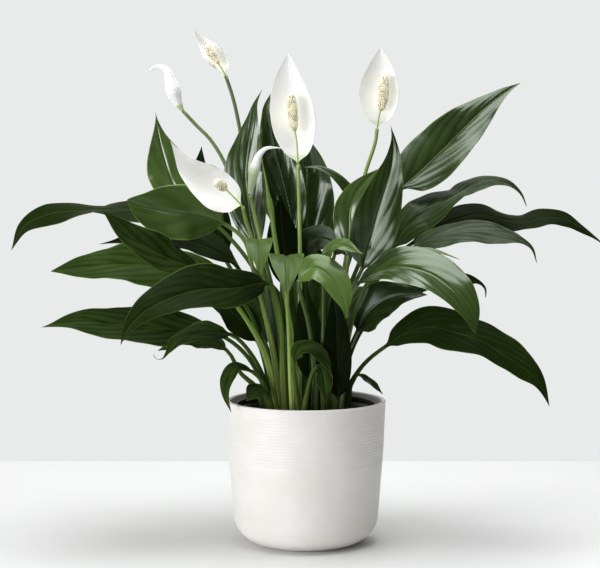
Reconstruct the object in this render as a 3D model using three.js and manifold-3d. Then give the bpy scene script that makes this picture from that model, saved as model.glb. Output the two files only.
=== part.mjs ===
// A potted peace lily: a tapered ceramic pot, a thin nursery pot standing in it,
// a plug of soil, and the leaves and flowers that rise from one crown.
// Millimetres, +Z up, origin at the middle of the pot's base, -Y is the front.

import * as THREE from 'three';
import { mergeVertices } from 'three/addons/utils/BufferGeometryUtils.js';
import Module from 'manifold-3d';

const wasm = await Module();
wasm.setup();

// ---------------------------------------------------------------- driving sizes

const GAP = 0.35; // clearance between pieces that rest on each other

const POT_RIM_RADIUS = 80;
const POT_HEIGHT = 144;
const POT_WAIST_RADIUS = 73; // outer radius where the rounded bottom begins
const POT_CORNER = 30; // radius of the rounded bottom edge
const POT_BELLY_RADIUS = 78; // where the side turns a little steeper
const POT_BELLY_HEIGHT = 95;
const POT_WALL = 4;
const POT_LIP = 1.3; // rounding of the rim's two edges
const POT_FLOOR = 6;

const NURSERY_RIM_RADIUS = 71;
const NURSERY_RIM_HEIGHT = 7;
const NURSERY_TOP = 140; // height of its rim above the table
const NURSERY_TOP_RADIUS = 68.5;
const NURSERY_BASE_RADIUS = 42;
const NURSERY_WALL = 1.4;

const POT_CORNER_REST = 0.05; // radians left in the corner where the straight side begins
const NURSERY_LIP = 0.7; // bevel of the nursery pot's rim

const POT_SEGMENTS = 40;
const NURSERY_SEGMENTS = 32;
const SOIL_SEGMENTS = 36;

const SOIL_TOP = 124;
const HOLE_DEPTH = 12; // how far the stems stand in the soil
const HOLE_CLEARANCE = 0.45;
const HOLE_SIDES = 8;
const SOIL_CLEARANCE = 0.8; // from the nursery pot's wall

const STEM_FOOT = SOIL_TOP - HOLE_DEPTH + GAP; // lower end of every stem
const STEM_COLLAR = SOIL_TOP + 2; // height at which a stem starts to lean

const PETIOLE_FOOT_RADIUS = 2.7;
const PETIOLE_TOP_RADIUS = 1.9;
const BLADE_THICKNESS = 1.0;
const KEEL_TIP_THICKNESS = 1.3;
const KEEL_FADE = 1.6; // how soon the stalk's thickness runs out along the blade
const STEM_SIDES = 8;

const SCAPE_FOOT_RADIUS = 2.2;
const SCAPE_TOP_RADIUS = 1.8;
const SCAPE_CROWN = 0.2; // the scape's end is very slightly domed
const SCAPE_STEPS = 9;
const SPATHE_FOOT_RADIUS = 0.7;
const SPATHE_SHOULDER = 0.7;
const SPATHE_STATIONS = 11;
const SPATHE_FOOT_OFFSET = -1.05; // the spathe stands behind the middle of the scape
const STIPE_OFFSET = 0.75; // and the spadix in front of it
const SPATHE_WAVE = 1.2; // height of the soft waves in its margin
const SPATHE_WAVES = 9; // radians of wave from its foot to its tip
const SPATHE_WAVE_SKEW = 3; // radians between its two margins, halved
const SPADIX_SIDES = 8;
const SPADIX_RINGS = 13;
const SPADIX_BLUNT = 0.07; // how blunt its two ends are
const SPADIX_ROUNDING = 0.45; // a small power keeps its sides straight
const STIPE_RADIUS = 0.8;
const FLORET_RELIEF = 0.14; // part of the spadix radius that a floret stands out
const BUD_STATIONS = 12;
const BUD_TIP_RADIUS = 0.7;
const BUD_TAPER = 1.2;
const BUD_FOOT_SWELL = 0.12; // how far up its swelling a bud already is at its foot

const SPEAR_STATIONS = 16;
const SPEAR_RADIUS = 2.2;
const SPEAR_SWELL = 1.3; // more radius where the rolled blade is thickest
const SPEAR_THICKEST = 0.83; // part of its length
const SPEAR_SWELL_LENGTH = 0.06;
const SPEAR_POINT_FROM = 0.8; // part of its length at which its point begins
const SPEAR_POINT_RADIUS = 3;
const SPEAR_TIP_RADIUS = 0.6;

// ---------------------------------------------------------------- colours

const LOOKS = {
  ceramic: { color: 0xeeecea, roughness: 0.45, metalness: 0 },
  blackPlastic: { color: 0x1b1c1b, roughness: 0.5, metalness: 0 },
  soil: { color: 0x1e1914, roughness: 1, metalness: 0 },
  leaf: { color: 0x2f4a24, roughness: 0.35, metalness: 0 },
  youngLeaf: { color: 0x5f8a3c, roughness: 0.35, metalness: 0 },
  scape: { color: 0x9db46a, roughness: 0.5, metalness: 0 },
  spathe: { color: 0xfbfbf7, roughness: 0.45, metalness: 0 },
  spadix: { color: 0xe9e3be, roughness: 0.7, metalness: 0 },
};

// ---------------------------------------------------------------- helpers

const group = new THREE.Group();
const FRONT = new THREE.Vector3(0, -1, 0.01);
const WELD = 1e-4; // corners nearer than this are one corner

function addPiece(name, geometry, look) {
  const mesh = new THREE.Mesh(geometry, new THREE.MeshStandardMaterial(LOOKS[look]));
  mesh.name = name;
  group.add(mesh);
}

function toVector([x, y, z]) {
  return new THREE.Vector3(x, y, z);
}

function toSolid(geometry) {
  const bare = geometry.clone();
  bare.deleteAttribute('normal');
  bare.deleteAttribute('uv');
  const merged = mergeVertices(bare, WELD);
  return new wasm.Manifold(new wasm.Mesh({
    numProp: 3,
    vertProperties: new Float32Array(merged.attributes.position.array),
    triVerts: new Uint32Array(merged.index.array),
  }));
}

function toGeometry(solid) {
  const mesh = solid.getMesh();
  const geometry = new THREE.BufferGeometry();
  geometry.setAttribute('position', new THREE.BufferAttribute(mesh.vertProperties, 3));
  geometry.setIndex(new THREE.BufferAttribute(mesh.triVerts, 1));
  return geometry;
}

function latheAroundZ(profile, segments) {
  const geometry = new THREE.LatheGeometry(profile, segments);
  geometry.rotateX(Math.PI / 2);
  return geometry;
}

// Volume of a closed triangle mesh, negative where its faces point inwards.
function signedVolume(points, triangles) {
  let sum = 0;
  for (const [a, b, c] of triangles) {
    sum += points[a].dot(points[b].clone().cross(points[c]));
  }
  return sum / 6;
}

// Closes a stack of equal rings with a flat foot and one apex point.
// Opposite faces of a flattened ring are cut along the same diagonal.
function loft(rings, apex) {
  const sides = rings[0].length;
  const points = rings.flat();
  const triangles = [];
  for (let i = 0; i + 1 < rings.length; i += 1) {
    for (let j = 0; j < sides; j += 1) {
      const a = i * sides + j;
      const b = i * sides + ((j + 1) % sides);
      const c = b + sides;
      const d = a + sides;
      if (j < sides / 2) {
        triangles.push([a, b, c], [a, c, d]);
      } else {
        triangles.push([a, b, d], [b, c, d]);
      }
    }
  }
  for (let j = 1; j + 1 < sides; j += 1) {
    triangles.push([0, j + 1, j]);
  }
  const last = (rings.length - 1) * sides;
  const tip = points.push(apex) - 1;
  for (let j = 0; j < sides; j += 1) {
    triangles.push([last + j, last + ((j + 1) % sides), tip]);
  }
  if (signedVolume(points, triangles) < 0) {
    triangles.forEach((corners) => corners.reverse());
  }
  const geometry = new THREE.BufferGeometry();
  geometry.setAttribute('position', new THREE.Float32BufferAttribute(
    points.flatMap((p) => [p.x, p.y, p.z]), 3));
  geometry.setIndex(triangles.flat());
  return geometry;
}

// The local axes at a point of a curve: along it, out of its face, and across it.
function frameAt(curve, u, facing) {
  const origin = curve.getPointAt(u);
  const along = curve.getTangentAt(u);
  const normal = facing.clone().addScaledVector(along, -facing.dot(along)).normalize();
  const across = along.clone().cross(normal);
  return { origin, normal, across };
}

// The way a blade faces at v, read off a short list of directions.
function facingAt(directions, v) {
  if (directions.length === 1) return toVector(directions[0]);
  const reach = v * (directions.length - 1);
  const index = Math.min(Math.floor(reach), directions.length - 2);
  return toVector(directions[index]).lerp(toVector(directions[index + 1]), reach - index);
}

function place({ origin, normal, across }, q, h) {
  return origin.clone().addScaledVector(across, q).addScaledVector(normal, h);
}

// ---------------------------------------------------------------- leaves

const COLUMNS = [-1, -0.5, 0, 0.5, 1]; // across the blade, margin to margin
const BACK_COLUMNS = [0.5, 0, -0.5];
const MARGIN_OFFSET = 2; // radians between the waves of a blade's two margins
const STATION_SHIFT = 0.09; // moves the rings of a blade towards its two ends
const CURVE_STEPS = 400; // steps in which a route is measured

// Half width of a lance-shaped blade of width 2: v runs from its base to its tip.
// A small shoulder makes a broad base and a large taper makes a drawn-out tip.
function outline(v, shoulder, taper) {
  const widest = shoulder / (shoulder + taper);
  const full = (widest ** shoulder) * ((1 - widest) ** taper);
  return (v ** shoulder) * ((1 - v) ** taper) / full;
}

function bladeHalfWidth(leaf, v) {
  return leaf.width / 2 * outline(v, leaf.shoulder, leaf.taper);
}

// Height of the blade over its midrib: folded up, curled over, waved at the margin.
function bladeLift(leaf, v, q) {
  const half = bladeHalfWidth(leaf, v);
  const fold = half * (leaf.fold * Math.abs(q) - leaf.curl * q * q);
  const phase = q < 0 ? leaf.phase : leaf.phase + MARGIN_OFFSET;
  const wave = leaf.wave * Math.sin(2 * Math.PI * leaf.waves * v + phase);
  return fold + wave * q * q * Math.sin(Math.PI * v);
}

const LEAF_DEFAULTS = {
  facing: [[0, -0.6, 0.8]],
  shoulder: 0.75,
  taper: 1.25,
  fold: 0.3,
  curl: 0.12,
  wave: 2.5,
  waves: 2,
  phase: 0,
  stations: 9,
  look: 'leaf',
};

function petioleRing(frame, radius) {
  const ring = [];
  for (let j = 0; j < STEM_SIDES; j += 1) {
    const angle = Math.PI - j * 2 * Math.PI / STEM_SIDES;
    ring.push(place(frame, radius * Math.cos(angle), radius * Math.sin(angle)));
  }
  return ring;
}

function bladeRing(leaf, frame, v) {
  const slim = PETIOLE_TOP_RADIUS * (1 - v);
  const half = Math.max(bladeHalfWidth(leaf, v), slim);
  const keel = Math.max(KEEL_TIP_THICKNESS, 2 * PETIOLE_TOP_RADIUS * (1 - KEEL_FADE * v));
  const ring = COLUMNS.map((q) => place(frame, q * half, bladeLift(leaf, v, q)));
  for (const q of BACK_COLUMNS) {
    const depth = q === 0 ? keel : BLADE_THICKNESS;
    ring.push(place(frame, q * half, bladeLift(leaf, v, q) - depth));
  }
  return ring;
}

// The share of a blade's length at which its ring i of count stands.
function stationAt(i, count) {
  const even = i / count;
  return even - STATION_SHIFT * Math.sin(2 * Math.PI * even);
}

// Two rings that carry a stem straight up out of the soil.
function footRings(foot, radius) {
  const normal = new THREE.Vector3(0, -1, 0);
  const across = new THREE.Vector3(0, 0, 1).cross(normal);
  const ring = petioleRing({ origin: foot, normal, across }, radius);
  return [ring, ring.map((p) => p.clone().setZ(STEM_COLLAR))];
}

// One leaf in one piece: a round leaf stalk from the soil that widens into a blade.
function leafGeometry(spec) {
  const leaf = { ...LEAF_DEFAULTS, ...spec };
  const [[footX, footY]] = leaf.route;
  const foot = new THREE.Vector3(footX, footY, STEM_FOOT);
  const route = [new THREE.Vector3(footX, footY, STEM_COLLAR)];
  route.push(...leaf.route.slice(1).map(toVector));
  const curve = new THREE.CatmullRomCurve3(route, false, 'centripetal');
  const lengths = curve.getLengths(CURVE_STEPS);
  const turn = Math.round(CURVE_STEPS * leaf.base / (route.length - 1));
  const start = lengths[turn] / lengths[CURVE_STEPS];
  const rings = footRings(foot, PETIOLE_FOOT_RADIUS);
  for (let i = 1; i <= leaf.base; i += 1) {
    const t = i / leaf.base;
    const radius = THREE.MathUtils.lerp(PETIOLE_FOOT_RADIUS, PETIOLE_TOP_RADIUS, t);
    rings.push(petioleRing(frameAt(curve, start * t, facingAt(leaf.facing, 0)), radius));
  }
  for (let i = 1; i < leaf.stations; i += 1) {
    const v = stationAt(i, leaf.stations);
    const frame = frameAt(curve, start + (1 - start) * v, facingAt(leaf.facing, v));
    rings.push(bladeRing(leaf, frame, v));
  }
  return loft(rings, curve.getPointAt(1));
}

// Each route starts with the stem's place in the soil, then runs up the leaf stalk
// and along the midrib to the tip. base counts the route point where the blade starts.
const LEAVES = [
  {
    name: 'leaf_left_far', base: 3, width: 48, stations: 11,
    route: [[-20, 8], [-26, 10, 200], [-50, 14, 270], [-102, 22, 325], [-160, 30, 333],
      [-208, 38, 334], [-268, 46, 328], [-290, 50, 316], [-304, 52, 291]],
    facing: [[0, -0.7, 0.7], [0, -0.5, 0.85], [0, -0.15, 1], [-0.1, -0.75, 0.65],
      [-0.5, -0.8, 0.4]],
    phase: 1, taper: 1.1, fold: 0.08,
  },
  {
    name: 'leaf_left_upper', base: 5, width: 55,
    route: [[-22, -8], [-34, -12, 200], [-46, -16, 252], [-53, -20, 278], [-61, -23, 305],
      [-80, -28, 321], [-104, -34, 330], [-132, -42, 333], [-156, -48, 338],
      [-173, -53, 345]],
    facing: [[-0.25, -0.95, 0.15]], phase: 2, taper: 0.9,
  },
  {
    name: 'leaf_left_middle', base: 4, width: 38,
    route: [[-28, -18], [-40, -22, 190], [-62, -30, 232], [-88, -38, 264],
      [-103, -44, 276], [-138, -65, 292], [-166, -78, 311], [-193, -89, 336]],
    facing: [[0, -0.7, 0.7], [0, -0.9, 0.4]], phase: 0.5,
  },
  {
    name: 'leaf_left_behind', base: 3, width: 38,
    route: [[-24, 12], [-34, 16, 205], [-56, 22, 252], [-72, 26, 278],
      [-108, 34, 298], [-160, 42, 304], [-213, 50, 298]],
    facing: [[0, -0.6, 0.8]], phase: 3,
  },
  {
    name: 'leaf_left_long', base: 3, width: 50, stations: 11,
    route: [[-32, -4], [-42, -6, 190], [-58, -8, 235], [-78, -10, 258], [-98, -12, 268],
      [-136, -15, 276], [-166, -17, 280], [-196, -19, 280], [-252, -22, 274]],
    facing: [[0, -0.8, 0.6]], wave: 3.5, waves: 2.5, phase: 4, taper: 1,
  },
  {
    name: 'leaf_front_left', base: 4, width: 53, stations: 11,
    route: [[-20, -26], [-23, -28, 175], [-24, -30, 220], [-29, -33, 247], [-37, -37, 262],
      [-73, -62, 260], [-101, -80, 260], [-129, -96, 253], [-151, -108, 242],
      [-166, -115, 226], [-173, -119, 211]],
    facing: [[0, -0.8, 0.6], [-0.2, -0.8, 0.5]], wave: 2, phase: 1,
  },
  {
    name: 'leaf_left_low', base: 3, width: 46, stations: 10,
    route: [[-36, -10], [-44, -12, 165], [-66, -15, 197], [-92, -19, 213],
      [-143, -30, 218], [-191, -38, 223], [-225, -43, 226], [-258, -47, 221]],
    facing: [[0, -0.78, 0.62]], wave: 3, phase: 2,
  },
  {
    name: 'leaf_left_low_front', base: 3, width: 30, stations: 12,
    route: [[-36, -18], [-43, -23, 170], [-60, -32, 201], [-74, -39, 213],
      [-112, -58, 215], [-126, -65, 208], [-132, -69, 199], [-138, -71, 193],
      [-144, -71, 193], [-147, -71, 198]],
    facing: [[0, -0.5, 0.86], [0, -0.5, 0.86], [-0.6, -0.6, 0.4]], phase: 3, taper: 2.1,
  },
  {
    name: 'leaf_left_lowest', base: 3, width: 26,
    route: [[-40, 0], [-50, 2, 155], [-66, 4, 170], [-80, 5, 193],
      [-112, 6, 204], [-150, 8, 192]],
    facing: [[0, -0.6, 0.8]], stations: 7,
  },
  {
    name: 'leaf_left_upright', base: 4, width: 46,
    route: [[-26, 22], [-40, 30, 190], [-68, 44, 255], [-100, 58, 308],
      [-122, 66, 335], [-138, 71, 360], [-150, 76, 396], [-157, 80, 436]],
    facing: [[0.2, -0.95, 0.2]], phase: 5, shoulder: 1.1, taper: 2,
  },
  {
    name: 'leaf_centre_left_upright', base: 3, width: 46,
    route: [[-12, 14], [-18, 17, 190], [-36, 21, 252], [-48, 24, 290], [-57, 25, 330],
      [-61, 26, 370], [-58, 27, 400], [-54, 28, 425], [-51, 29, 440], [-44, 30, 456]],
    facing: [[-0.38, -0.9, 0.25]], phase: 1, wave: 2, shoulder: 1.1, taper: 1.7,
  },
  {
    name: 'leaf_centre_tall', base: 4, width: 48, stations: 10,
    route: [[-4, 16], [-5, 20, 200], [-8, 28, 262], [-10, 31, 285], [-12, 34, 305],
      [-17, 36, 335], [-25, 38, 369], [-32, 40, 397], [-37, 41, 425], [-39, 42, 438],
      [-36, 42, 452]],
    facing: [[-0.36, -0.9, 0.28]], phase: 2, wave: 2,
  },
  {
    name: 'leaf_centre_right_upright', base: 3, width: 60,
    route: [[6, 20], [7, 30, 200], [5, 46, 250], [3, 52, 275], [1, 55, 305],
      [0, 56, 345], [0, 57, 375], [-1, 58, 410]],
    facing: [[-0.25, -0.95, 0.3]], phase: 4, wave: 2, shoulder: 1, taper: 1, fold: 0.12,
  },
  {
    name: 'leaf_centre_arching', base: 4, width: 14,
    route: [[13, 15], [18, 18, 190], [34, 26, 250], [49, 27, 298], [55, 26, 320],
      [53, 26, 341], [42, 26, 355], [28, 26, 369], [14, 26, 376], [-3, 26, 377]],
    facing: [[0.5, -0.8, 0], [0.4, -0.75, 0.5], [0, -0.75, 0.65]], wave: 0.5, fold: 0.15,
  },
  {
    name: 'leaf_front_right_upright', base: 3, width: 46,
    route: [[16, -22], [22, -27, 190], [38, -33, 245], [54, -38, 276], [61, -41, 300],
      [70, -44, 334], [78, -46, 360], [83, -47, 380], [84, -49, 402], [81, -50, 418]],
    facing: [[0.12, -0.93, 0.38]], phase: 3, wave: 2, fold: 0.4, taper: 1.6,
  },
  {
    name: 'leaf_right_bright', base: 4, width: 32,
    route: [[20, -6], [26, -7, 190], [36, -6, 240], [40, -5, 268], [42, -4, 288],
      [43, -4, 315], [44, -3, 336], [50, -2, 352], [60, -1, 364], [72, 0, 375]],
    facing: [[-0.3, -0.93, 0.3]], phase: 2, wave: 1.5,
  },
  {
    name: 'leaf_right_upper', base: 4, width: 60, stations: 11,
    route: [[24, 10], [35, 15, 225], [56, 24, 284], [80, 30, 328], [97, 35, 354],
      [117, 41, 373], [138, 46, 393], [159, 51, 414], [180, 56, 434], [202, 61, 452],
      [222, 65, 464]],
    facing: [[-0.3, -0.85, 0.4]], phase: 1, wave: 2, shoulder: 0.5,
  },
  {
    name: 'leaf_right_curled', base: 4, width: 46, stations: 11,
    route: [[26, 2], [30, 4, 180], [45, 8, 222], [68, 12, 266], [87, 16, 294],
      [105, 19, 320], [131, 23, 337], [155, 27, 351], [169, 30, 359], [185, 33, 363],
      [204, 36, 361], [219, 38, 350], [226, 39, 336]],
    facing: [[-0.3, -0.75, 0.55], [-0.25, -0.8, 0.5], [0, -0.05, 1], [0.2, -0.5, 0.85],
      [0.8, -0.3, 0.4]],
    phase: 2, taper: 1.3, fold: 0.15,
  },
  {
    name: 'leaf_right_far', base: 4, width: 44, stations: 11,
    route: [[30, 18], [35, 21, 180], [51, 26, 236], [80, 31, 275], [107, 38, 298],
      [138, 46, 317], [176, 54, 328], [215, 60, 321], [228, 61, 321], [249, 64, 325],
      [270, 68, 323], [292, 71, 311], [321, 75, 289]],
    facing: [[0, -0.5, 0.85], [0.1, -0.45, 0.9], [0.3, -0.5, 0.8]], phase: 3, wave: 3,
    waves: 2.5, fold: 0.08,
  },
  {
    name: 'leaf_right_slender', base: 4, width: 42,
    route: [[28, -4], [33, -5, 180], [46, -8, 229], [75, -14, 270], [103, -18, 295],
      [124, -20, 306], [154, -22, 313], [183, -24, 312], [208, -26, 307], [221, -27, 298],
      [227, -28, 282]],
    facing: [[0, -0.5, 0.85], [0, -0.5, 0.85], [0.7, -0.4, 0.6]], phase: 1, wave: 2,
    fold: 0.1,
  },
  {
    name: 'leaf_front_right', base: 4, width: 54, stations: 11,
    route: [[26, -18], [28, -20, 172], [35, -23, 217], [42, -26, 243], [50, -30, 261],
      [64, -38, 272], [86, -50, 280], [114, -64, 276], [130, -72, 267], [144, -80, 254],
      [155, -86, 237], [160, -88, 219]],
    facing: [[-0.2, -0.55, 0.8], [-0.1, -0.6, 0.8], [0.5, -0.6, 0.6]], phase: 4, wave: 2,
    shoulder: 0.8, taper: 0.9,
  },
  {
    name: 'leaf_right_shaded', base: 3, width: 44,
    route: [[32, -10], [36, -12, 180], [44, -13, 198], [51, -15, 214], [60, -19, 231],
      [74, -25, 244], [92, -31, 251], [119, -37, 252]],
    facing: [[-0.3, -0.8, 0.5]], phase: 2, shoulder: 0.6,
  },
  {
    name: 'leaf_right_low', base: 4, width: 46, stations: 11,
    route: [[37, -4], [42, -7, 154], [54, -10, 176], [64, -12, 187], [78, -14, 198],
      [98, -18, 212], [122, -23, 219], [146, -27, 214], [170, -32, 207], [194, -36, 193],
      [213, -40, 180], [228, -43, 166], [238, -45, 143]],
    facing: [[-0.1, -0.8, 0.6], [0.1, -0.8, 0.6], [0.6, -0.7, 0.4]], phase: 5, wave: 4.5,
    taper: 1.05,
  },
  {
    name: 'leaf_right_behind', base: 3, width: 30,
    route: [[34, 4], [43, 6, 185], [62, 8, 222], [84, 10, 246], [120, 12, 258],
      [152, 15, 262], [171, 17, 262], [181, 18, 254], [182, 18, 244]],
    facing: [[0, -0.5, 0.85], [0.2, -0.5, 0.8], [0.8, -0.4, 0.3]], phase: 1,
  },
  {
    name: 'leaf_right_inner', base: 3, width: 13, stations: 7, wave: 0.5,
    route: [[34, -18], [38, -18, 180], [46, -19, 225], [60, -23, 262], [78, -28, 280],
      [100, -36, 292], [123, -41, 295], [150, -44, 287]],
    facing: [[0, -0.5, 0.85]],
  },
  {
    name: 'leaf_over_right_rim', base: 3, width: 11,
    route: [[42, 10], [44, 10, 150], [48, 10, 164], [53, 9, 168], [61, 8, 163],
      [69, 6, 157], [78, 4, 148]],
    facing: [[0, -0.4, 1]], stations: 6, wave: 0.5,
  },
  {
    name: 'leaf_front_arching', base: 4, width: 36,
    route: [[10, -32], [8, -34, 180], [2, -39, 225], [-5, -43, 252], [-7, -47, 266],
      [8, -54, 279], [23, -60, 271], [31, -65, 259], [36, -69, 245], [40, -72, 231]],
    facing: [[0, -0.6, 0.8], [0.6, -0.8, 0.2]], look: 'youngLeaf', stations: 8, wave: 1.5,
  },
  {
    name: 'leaf_front_forward', base: 3, width: 34,
    route: [[-13, -29], [-16, -30, 200], [-19, -34, 255], [-19, -44, 280], [-19, -62, 291],
      [-19, -84, 288], [-18, -104, 273], [-18, -116, 256]],
    facing: [[0, -0.1, 1], [0, -0.5, 0.9], [0, -1, 0.5]], stations: 8, wave: 1.5,
  },
  {
    name: 'leaf_front_forward_left', base: 4, width: 26,
    route: [[-18, -12], [-22, -13, 190], [-30, -20, 240], [-38, -29, 275], [-43, -37, 296],
      [-45, -48, 306], [-45, -66, 302], [-44, -80, 288], [-43, -88, 273]],
    facing: [[0, -0.1, 1], [0, -0.5, 0.9], [0, -1, 0.5]], stations: 7, wave: 1,
  },
  {
    name: 'leaf_front_small', base: 3, width: 18,
    route: [[17, -30], [17, -33, 200], [17, -34, 255], [17, -37, 284], [31, -49, 301],
      [55, -61, 293]],
    facing: [[0, -0.7, 0.7]], stations: 7, wave: 1,
  },
  {
    name: 'leaf_centre_dark', base: 3, width: 36,
    route: [[-5, 5], [-8, 8, 190], [-14, 11, 235], [-17, 13, 255], [-21, 14, 285],
      [-25, 14, 320], [-26, 13, 350]],
    facing: [[0, -1, 0.05]], stations: 7, wave: 1, fold: 0.1,
  },
  {
    name: 'leaf_centre_low', base: 3, width: 40,
    route: [[16, 22], [12, 24, 190], [4, 24, 238], [0, 24, 264], [3, 22, 290],
      [12, 18, 304], [26, 10, 302], [40, 2, 288]],
    facing: [[0, -0.7, 0.7], [0.1, -0.8, 0.6]], phase: 1, wave: 1.5, fold: 0.1,
  },
  {
    name: 'leaf_front_dark', base: 2, width: 30,
    route: [[2, -24], [2, -25, 150], [3, -26, 166], [3, -26, 190], [2, -27, 215],
      [0, -28, 235], [-1, -29, 252], [-2, -30, 266]],
    facing: [[0.1, -1, 0]], stations: 7, wave: 1.5,
  },
  {
    name: 'leaf_crown_right', base: 2, width: 28,
    route: [[29, -33], [30, -36, 140], [31, -38, 150], [31, -39, 175], [30, -39, 205],
      [29, -39, 232], [26, -38, 252]],
    facing: [[0, -1, 0.05]], wave: 1, stations: 8, shoulder: 0.6, taper: 0.9,
  },
  {
    name: 'leaf_left_inner', base: 3, width: 34,
    route: [[-34, 12], [-39, 15, 165], [-43, 17, 183], [-49, 20, 200], [-66, 22, 221],
      [-84, 24, 236], [-106, 27, 243]],
    facing: [[0, -0.8, 0.6]], stations: 7,
  },
  {
    name: 'leaf_left_back_upright', base: 3, width: 34,
    route: [[-22, 32], [-36, 40, 200], [-58, 54, 250], [-80, 70, 290], [-100, 82, 330],
      [-111, 91, 365], [-110, 100, 400]],
    facing: [[0.1, -0.95, 0.2]], phase: 2,
  },
];

// ---------------------------------------------------------------- fused shoots

// Leaves that share one sheath at the soil and so are one piece of the plant.
const SHOOTS = [
  {
    name: 'shoot_over_left_rim',
    leaves: [
      {
        base: 3, width: 18, stations: 7, wave: 0.6,
        route: [[-33, -28], [-37, -29, 150], [-44, -31, 167], [-53, -34, 176],
          [-62, -38, 180], [-69, -42, 181], [-76, -46, 170], [-78, -50, 156], [-73, -53, 138]],
        facing: [[0, -0.5, 0.9], [-0.4, -0.6, 0.7], [-0.9, -0.5, 0]],
      },
      {
        base: 3, width: 23, stations: 6, wave: 0.8,
        route: [[-32, -29], [-35, -31, 145], [-37, -33, 155], [-41, -35, 159],
          [-48, -39, 157], [-58, -46, 149]],
        facing: [[-0.2, -0.7, 0.7]],
      },
    ],
  },
  {
    name: 'shoot_front',
    leaves: [
      {
        base: 3, width: 20, stations: 7, wave: 1,
        route: [[-5, -36], [-9, -39, 155], [-12, -42, 178], [-12, -43, 188],
          [-5, -46, 200], [6, -49, 200], [18, -52, 188], [26, -56, 173]],
        facing: [[0.2, -0.6, 0.8], [0.6, -0.7, 0.5]],
      },
      {
        base: 3, width: 17, stations: 6, wave: 0.8,
        route: [[-4, -36], [0, -40, 150], [5, -42, 172], [10, -43, 182],
          [15, -44, 180], [18, -47, 166], [19, -51, 147]],
        facing: [[-0.3, -0.6, 0.7], [0.5, -0.8, 0.3]],
      },
    ],
  },
  {
    name: 'shoot_back_low',
    leaves: [
      {
        base: 2, width: 46, stations: 8,
        route: [[0, 40], [0, 42, 150], [-2, 47, 195], [-4, 66, 245], [-6, 98, 266], [-10, 140, 240]],
        facing: [[0, -1, 0.1], [0, -0.3, 1], [0, 0.4, 0.9]], phase: 1,
      },
      {
        base: 2, width: 44, stations: 8,
        route: [[2, 39], [10, 42, 150], [22, 49, 190], [36, 68, 232], [52, 100, 250], [70, 142, 226]],
        facing: [[0.2, -1, 0.1], [0, -0.3, 1], [0.2, 0.4, 0.9]], phase: 2,
      },
      {
        base: 2, width: 44, stations: 8,
        route: [[-2, 39], [-12, 43, 150], [-26, 52, 190], [-42, 74, 232], [-56, 106, 252], [-70, 146, 236]],
        facing: [[-0.2, -1, 0.1], [0, -0.3, 1], [-0.2, 0.4, 0.9]], phase: 3,
      },
    ],
  },
  {
    name: 'shoot_back_tall',
    leaves: [
      {
        base: 2, width: 40, stations: 8,
        route: [[-4, 26], [-8, 44, 230], [-18, 66, 285], [-38, 96, 330], [-60, 120, 346]],
        facing: [[0, 0.5, 0.8], [-0.4, 0.3, 0.85]], phase: 1,
      },
      {
        base: 2, width: 40, stations: 8,
        route: [[0, 26], [14, 46, 225], [30, 74, 285], [42, 100, 320], [50, 126, 334]],
        facing: [[0.3, 0.5, 0.8], [0.4, 0.4, 0.8]], phase: 2,
      },
      {
        base: 2, width: 44, stations: 8,
        route: [[-2, 27], [-1, 40, 225], [0, 66, 278], [2, 112, 306], [4, 164, 294]],
        facing: [[0, 0.4, 0.9], [0, 0.6, 0.8]], phase: 3,
      },
    ],
  },
];

function shootGeometry(shoot) {
  let solid = null;
  for (const leaf of shoot.leaves) {
    const part = toSolid(leafGeometry(leaf));
    solid = solid ? solid.add(part) : part;
  }
  return toGeometry(solid);
}

// ---------------------------------------------------------------- flowers

// A round tube along a curve, from radius a at its foot to radius b at its end.
function tubeRings(curve, facing, a, b, steps) {
  const rings = [];
  for (let i = 0; i <= steps; i += 1) {
    const t = i / steps;
    rings.push(petioleRing(frameAt(curve, t, facing), THREE.MathUtils.lerp(a, b, t)));
  }
  return rings;
}

function curveThrough(points) {
  return new THREE.CatmullRomCurve3(points, false, 'centripetal');
}

function scapeCurve(flower) {
  const [[footX, footY]] = flower.scape;
  const collar = new THREE.Vector3(footX, footY, STEM_COLLAR);
  return curveThrough([collar, ...flower.scape.slice(1).map(toVector)]);
}

// Where a flower part stands on its scape's top: offset is towards its front.
function seatOnScape(flower, offset) {
  const curve = scapeCurve(flower);
  const { origin, normal } = frameAt(curve, 1, FRONT);
  const along = curve.getTangentAt(1);
  return origin.addScaledVector(along, SCAPE_CROWN + GAP).addScaledVector(normal, offset);
}

// The first ring of a part that stands on a scape lies flat on the scape's top.
function seatRing(flower, seat, radius) {
  const frame = frameAt(scapeCurve(flower), 1, FRONT);
  return petioleRing({ ...frame, origin: seat }, radius);
}

// The leafless flower stalk: straight in the soil, then curved up to its flat top.
function scapeGeometry(flower) {
  const curve = scapeCurve(flower);
  const rings = tubeRings(curve, FRONT, SCAPE_FOOT_RADIUS, SCAPE_TOP_RADIUS, SCAPE_STEPS);
  const foot = rings[0].map((p) => p.clone().setZ(STEM_FOOT));
  const top = curve.getPointAt(1);
  rings[0] = foot.map((p) => p.clone().setZ(STEM_COLLAR));
  return loft([foot, ...rings], top.addScaledVector(curve.getTangentAt(1), SCAPE_CROWN));
}

function spatheHalfWidth(spathe, v) {
  return spathe.width / 2 * outline(v, SPATHE_SHOULDER, spathe.taper);
}

function spatheLift(spathe, v, q) {
  const half = spatheHalfWidth(spathe, v);
  const cup = spathe.cup * half * q * q;
  const wave = SPATHE_WAVE * Math.sin(SPATHE_WAVES * v + SPATHE_WAVE_SKEW * q);
  return cup + wave * q * q * Math.sin(Math.PI * v);
}

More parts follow.
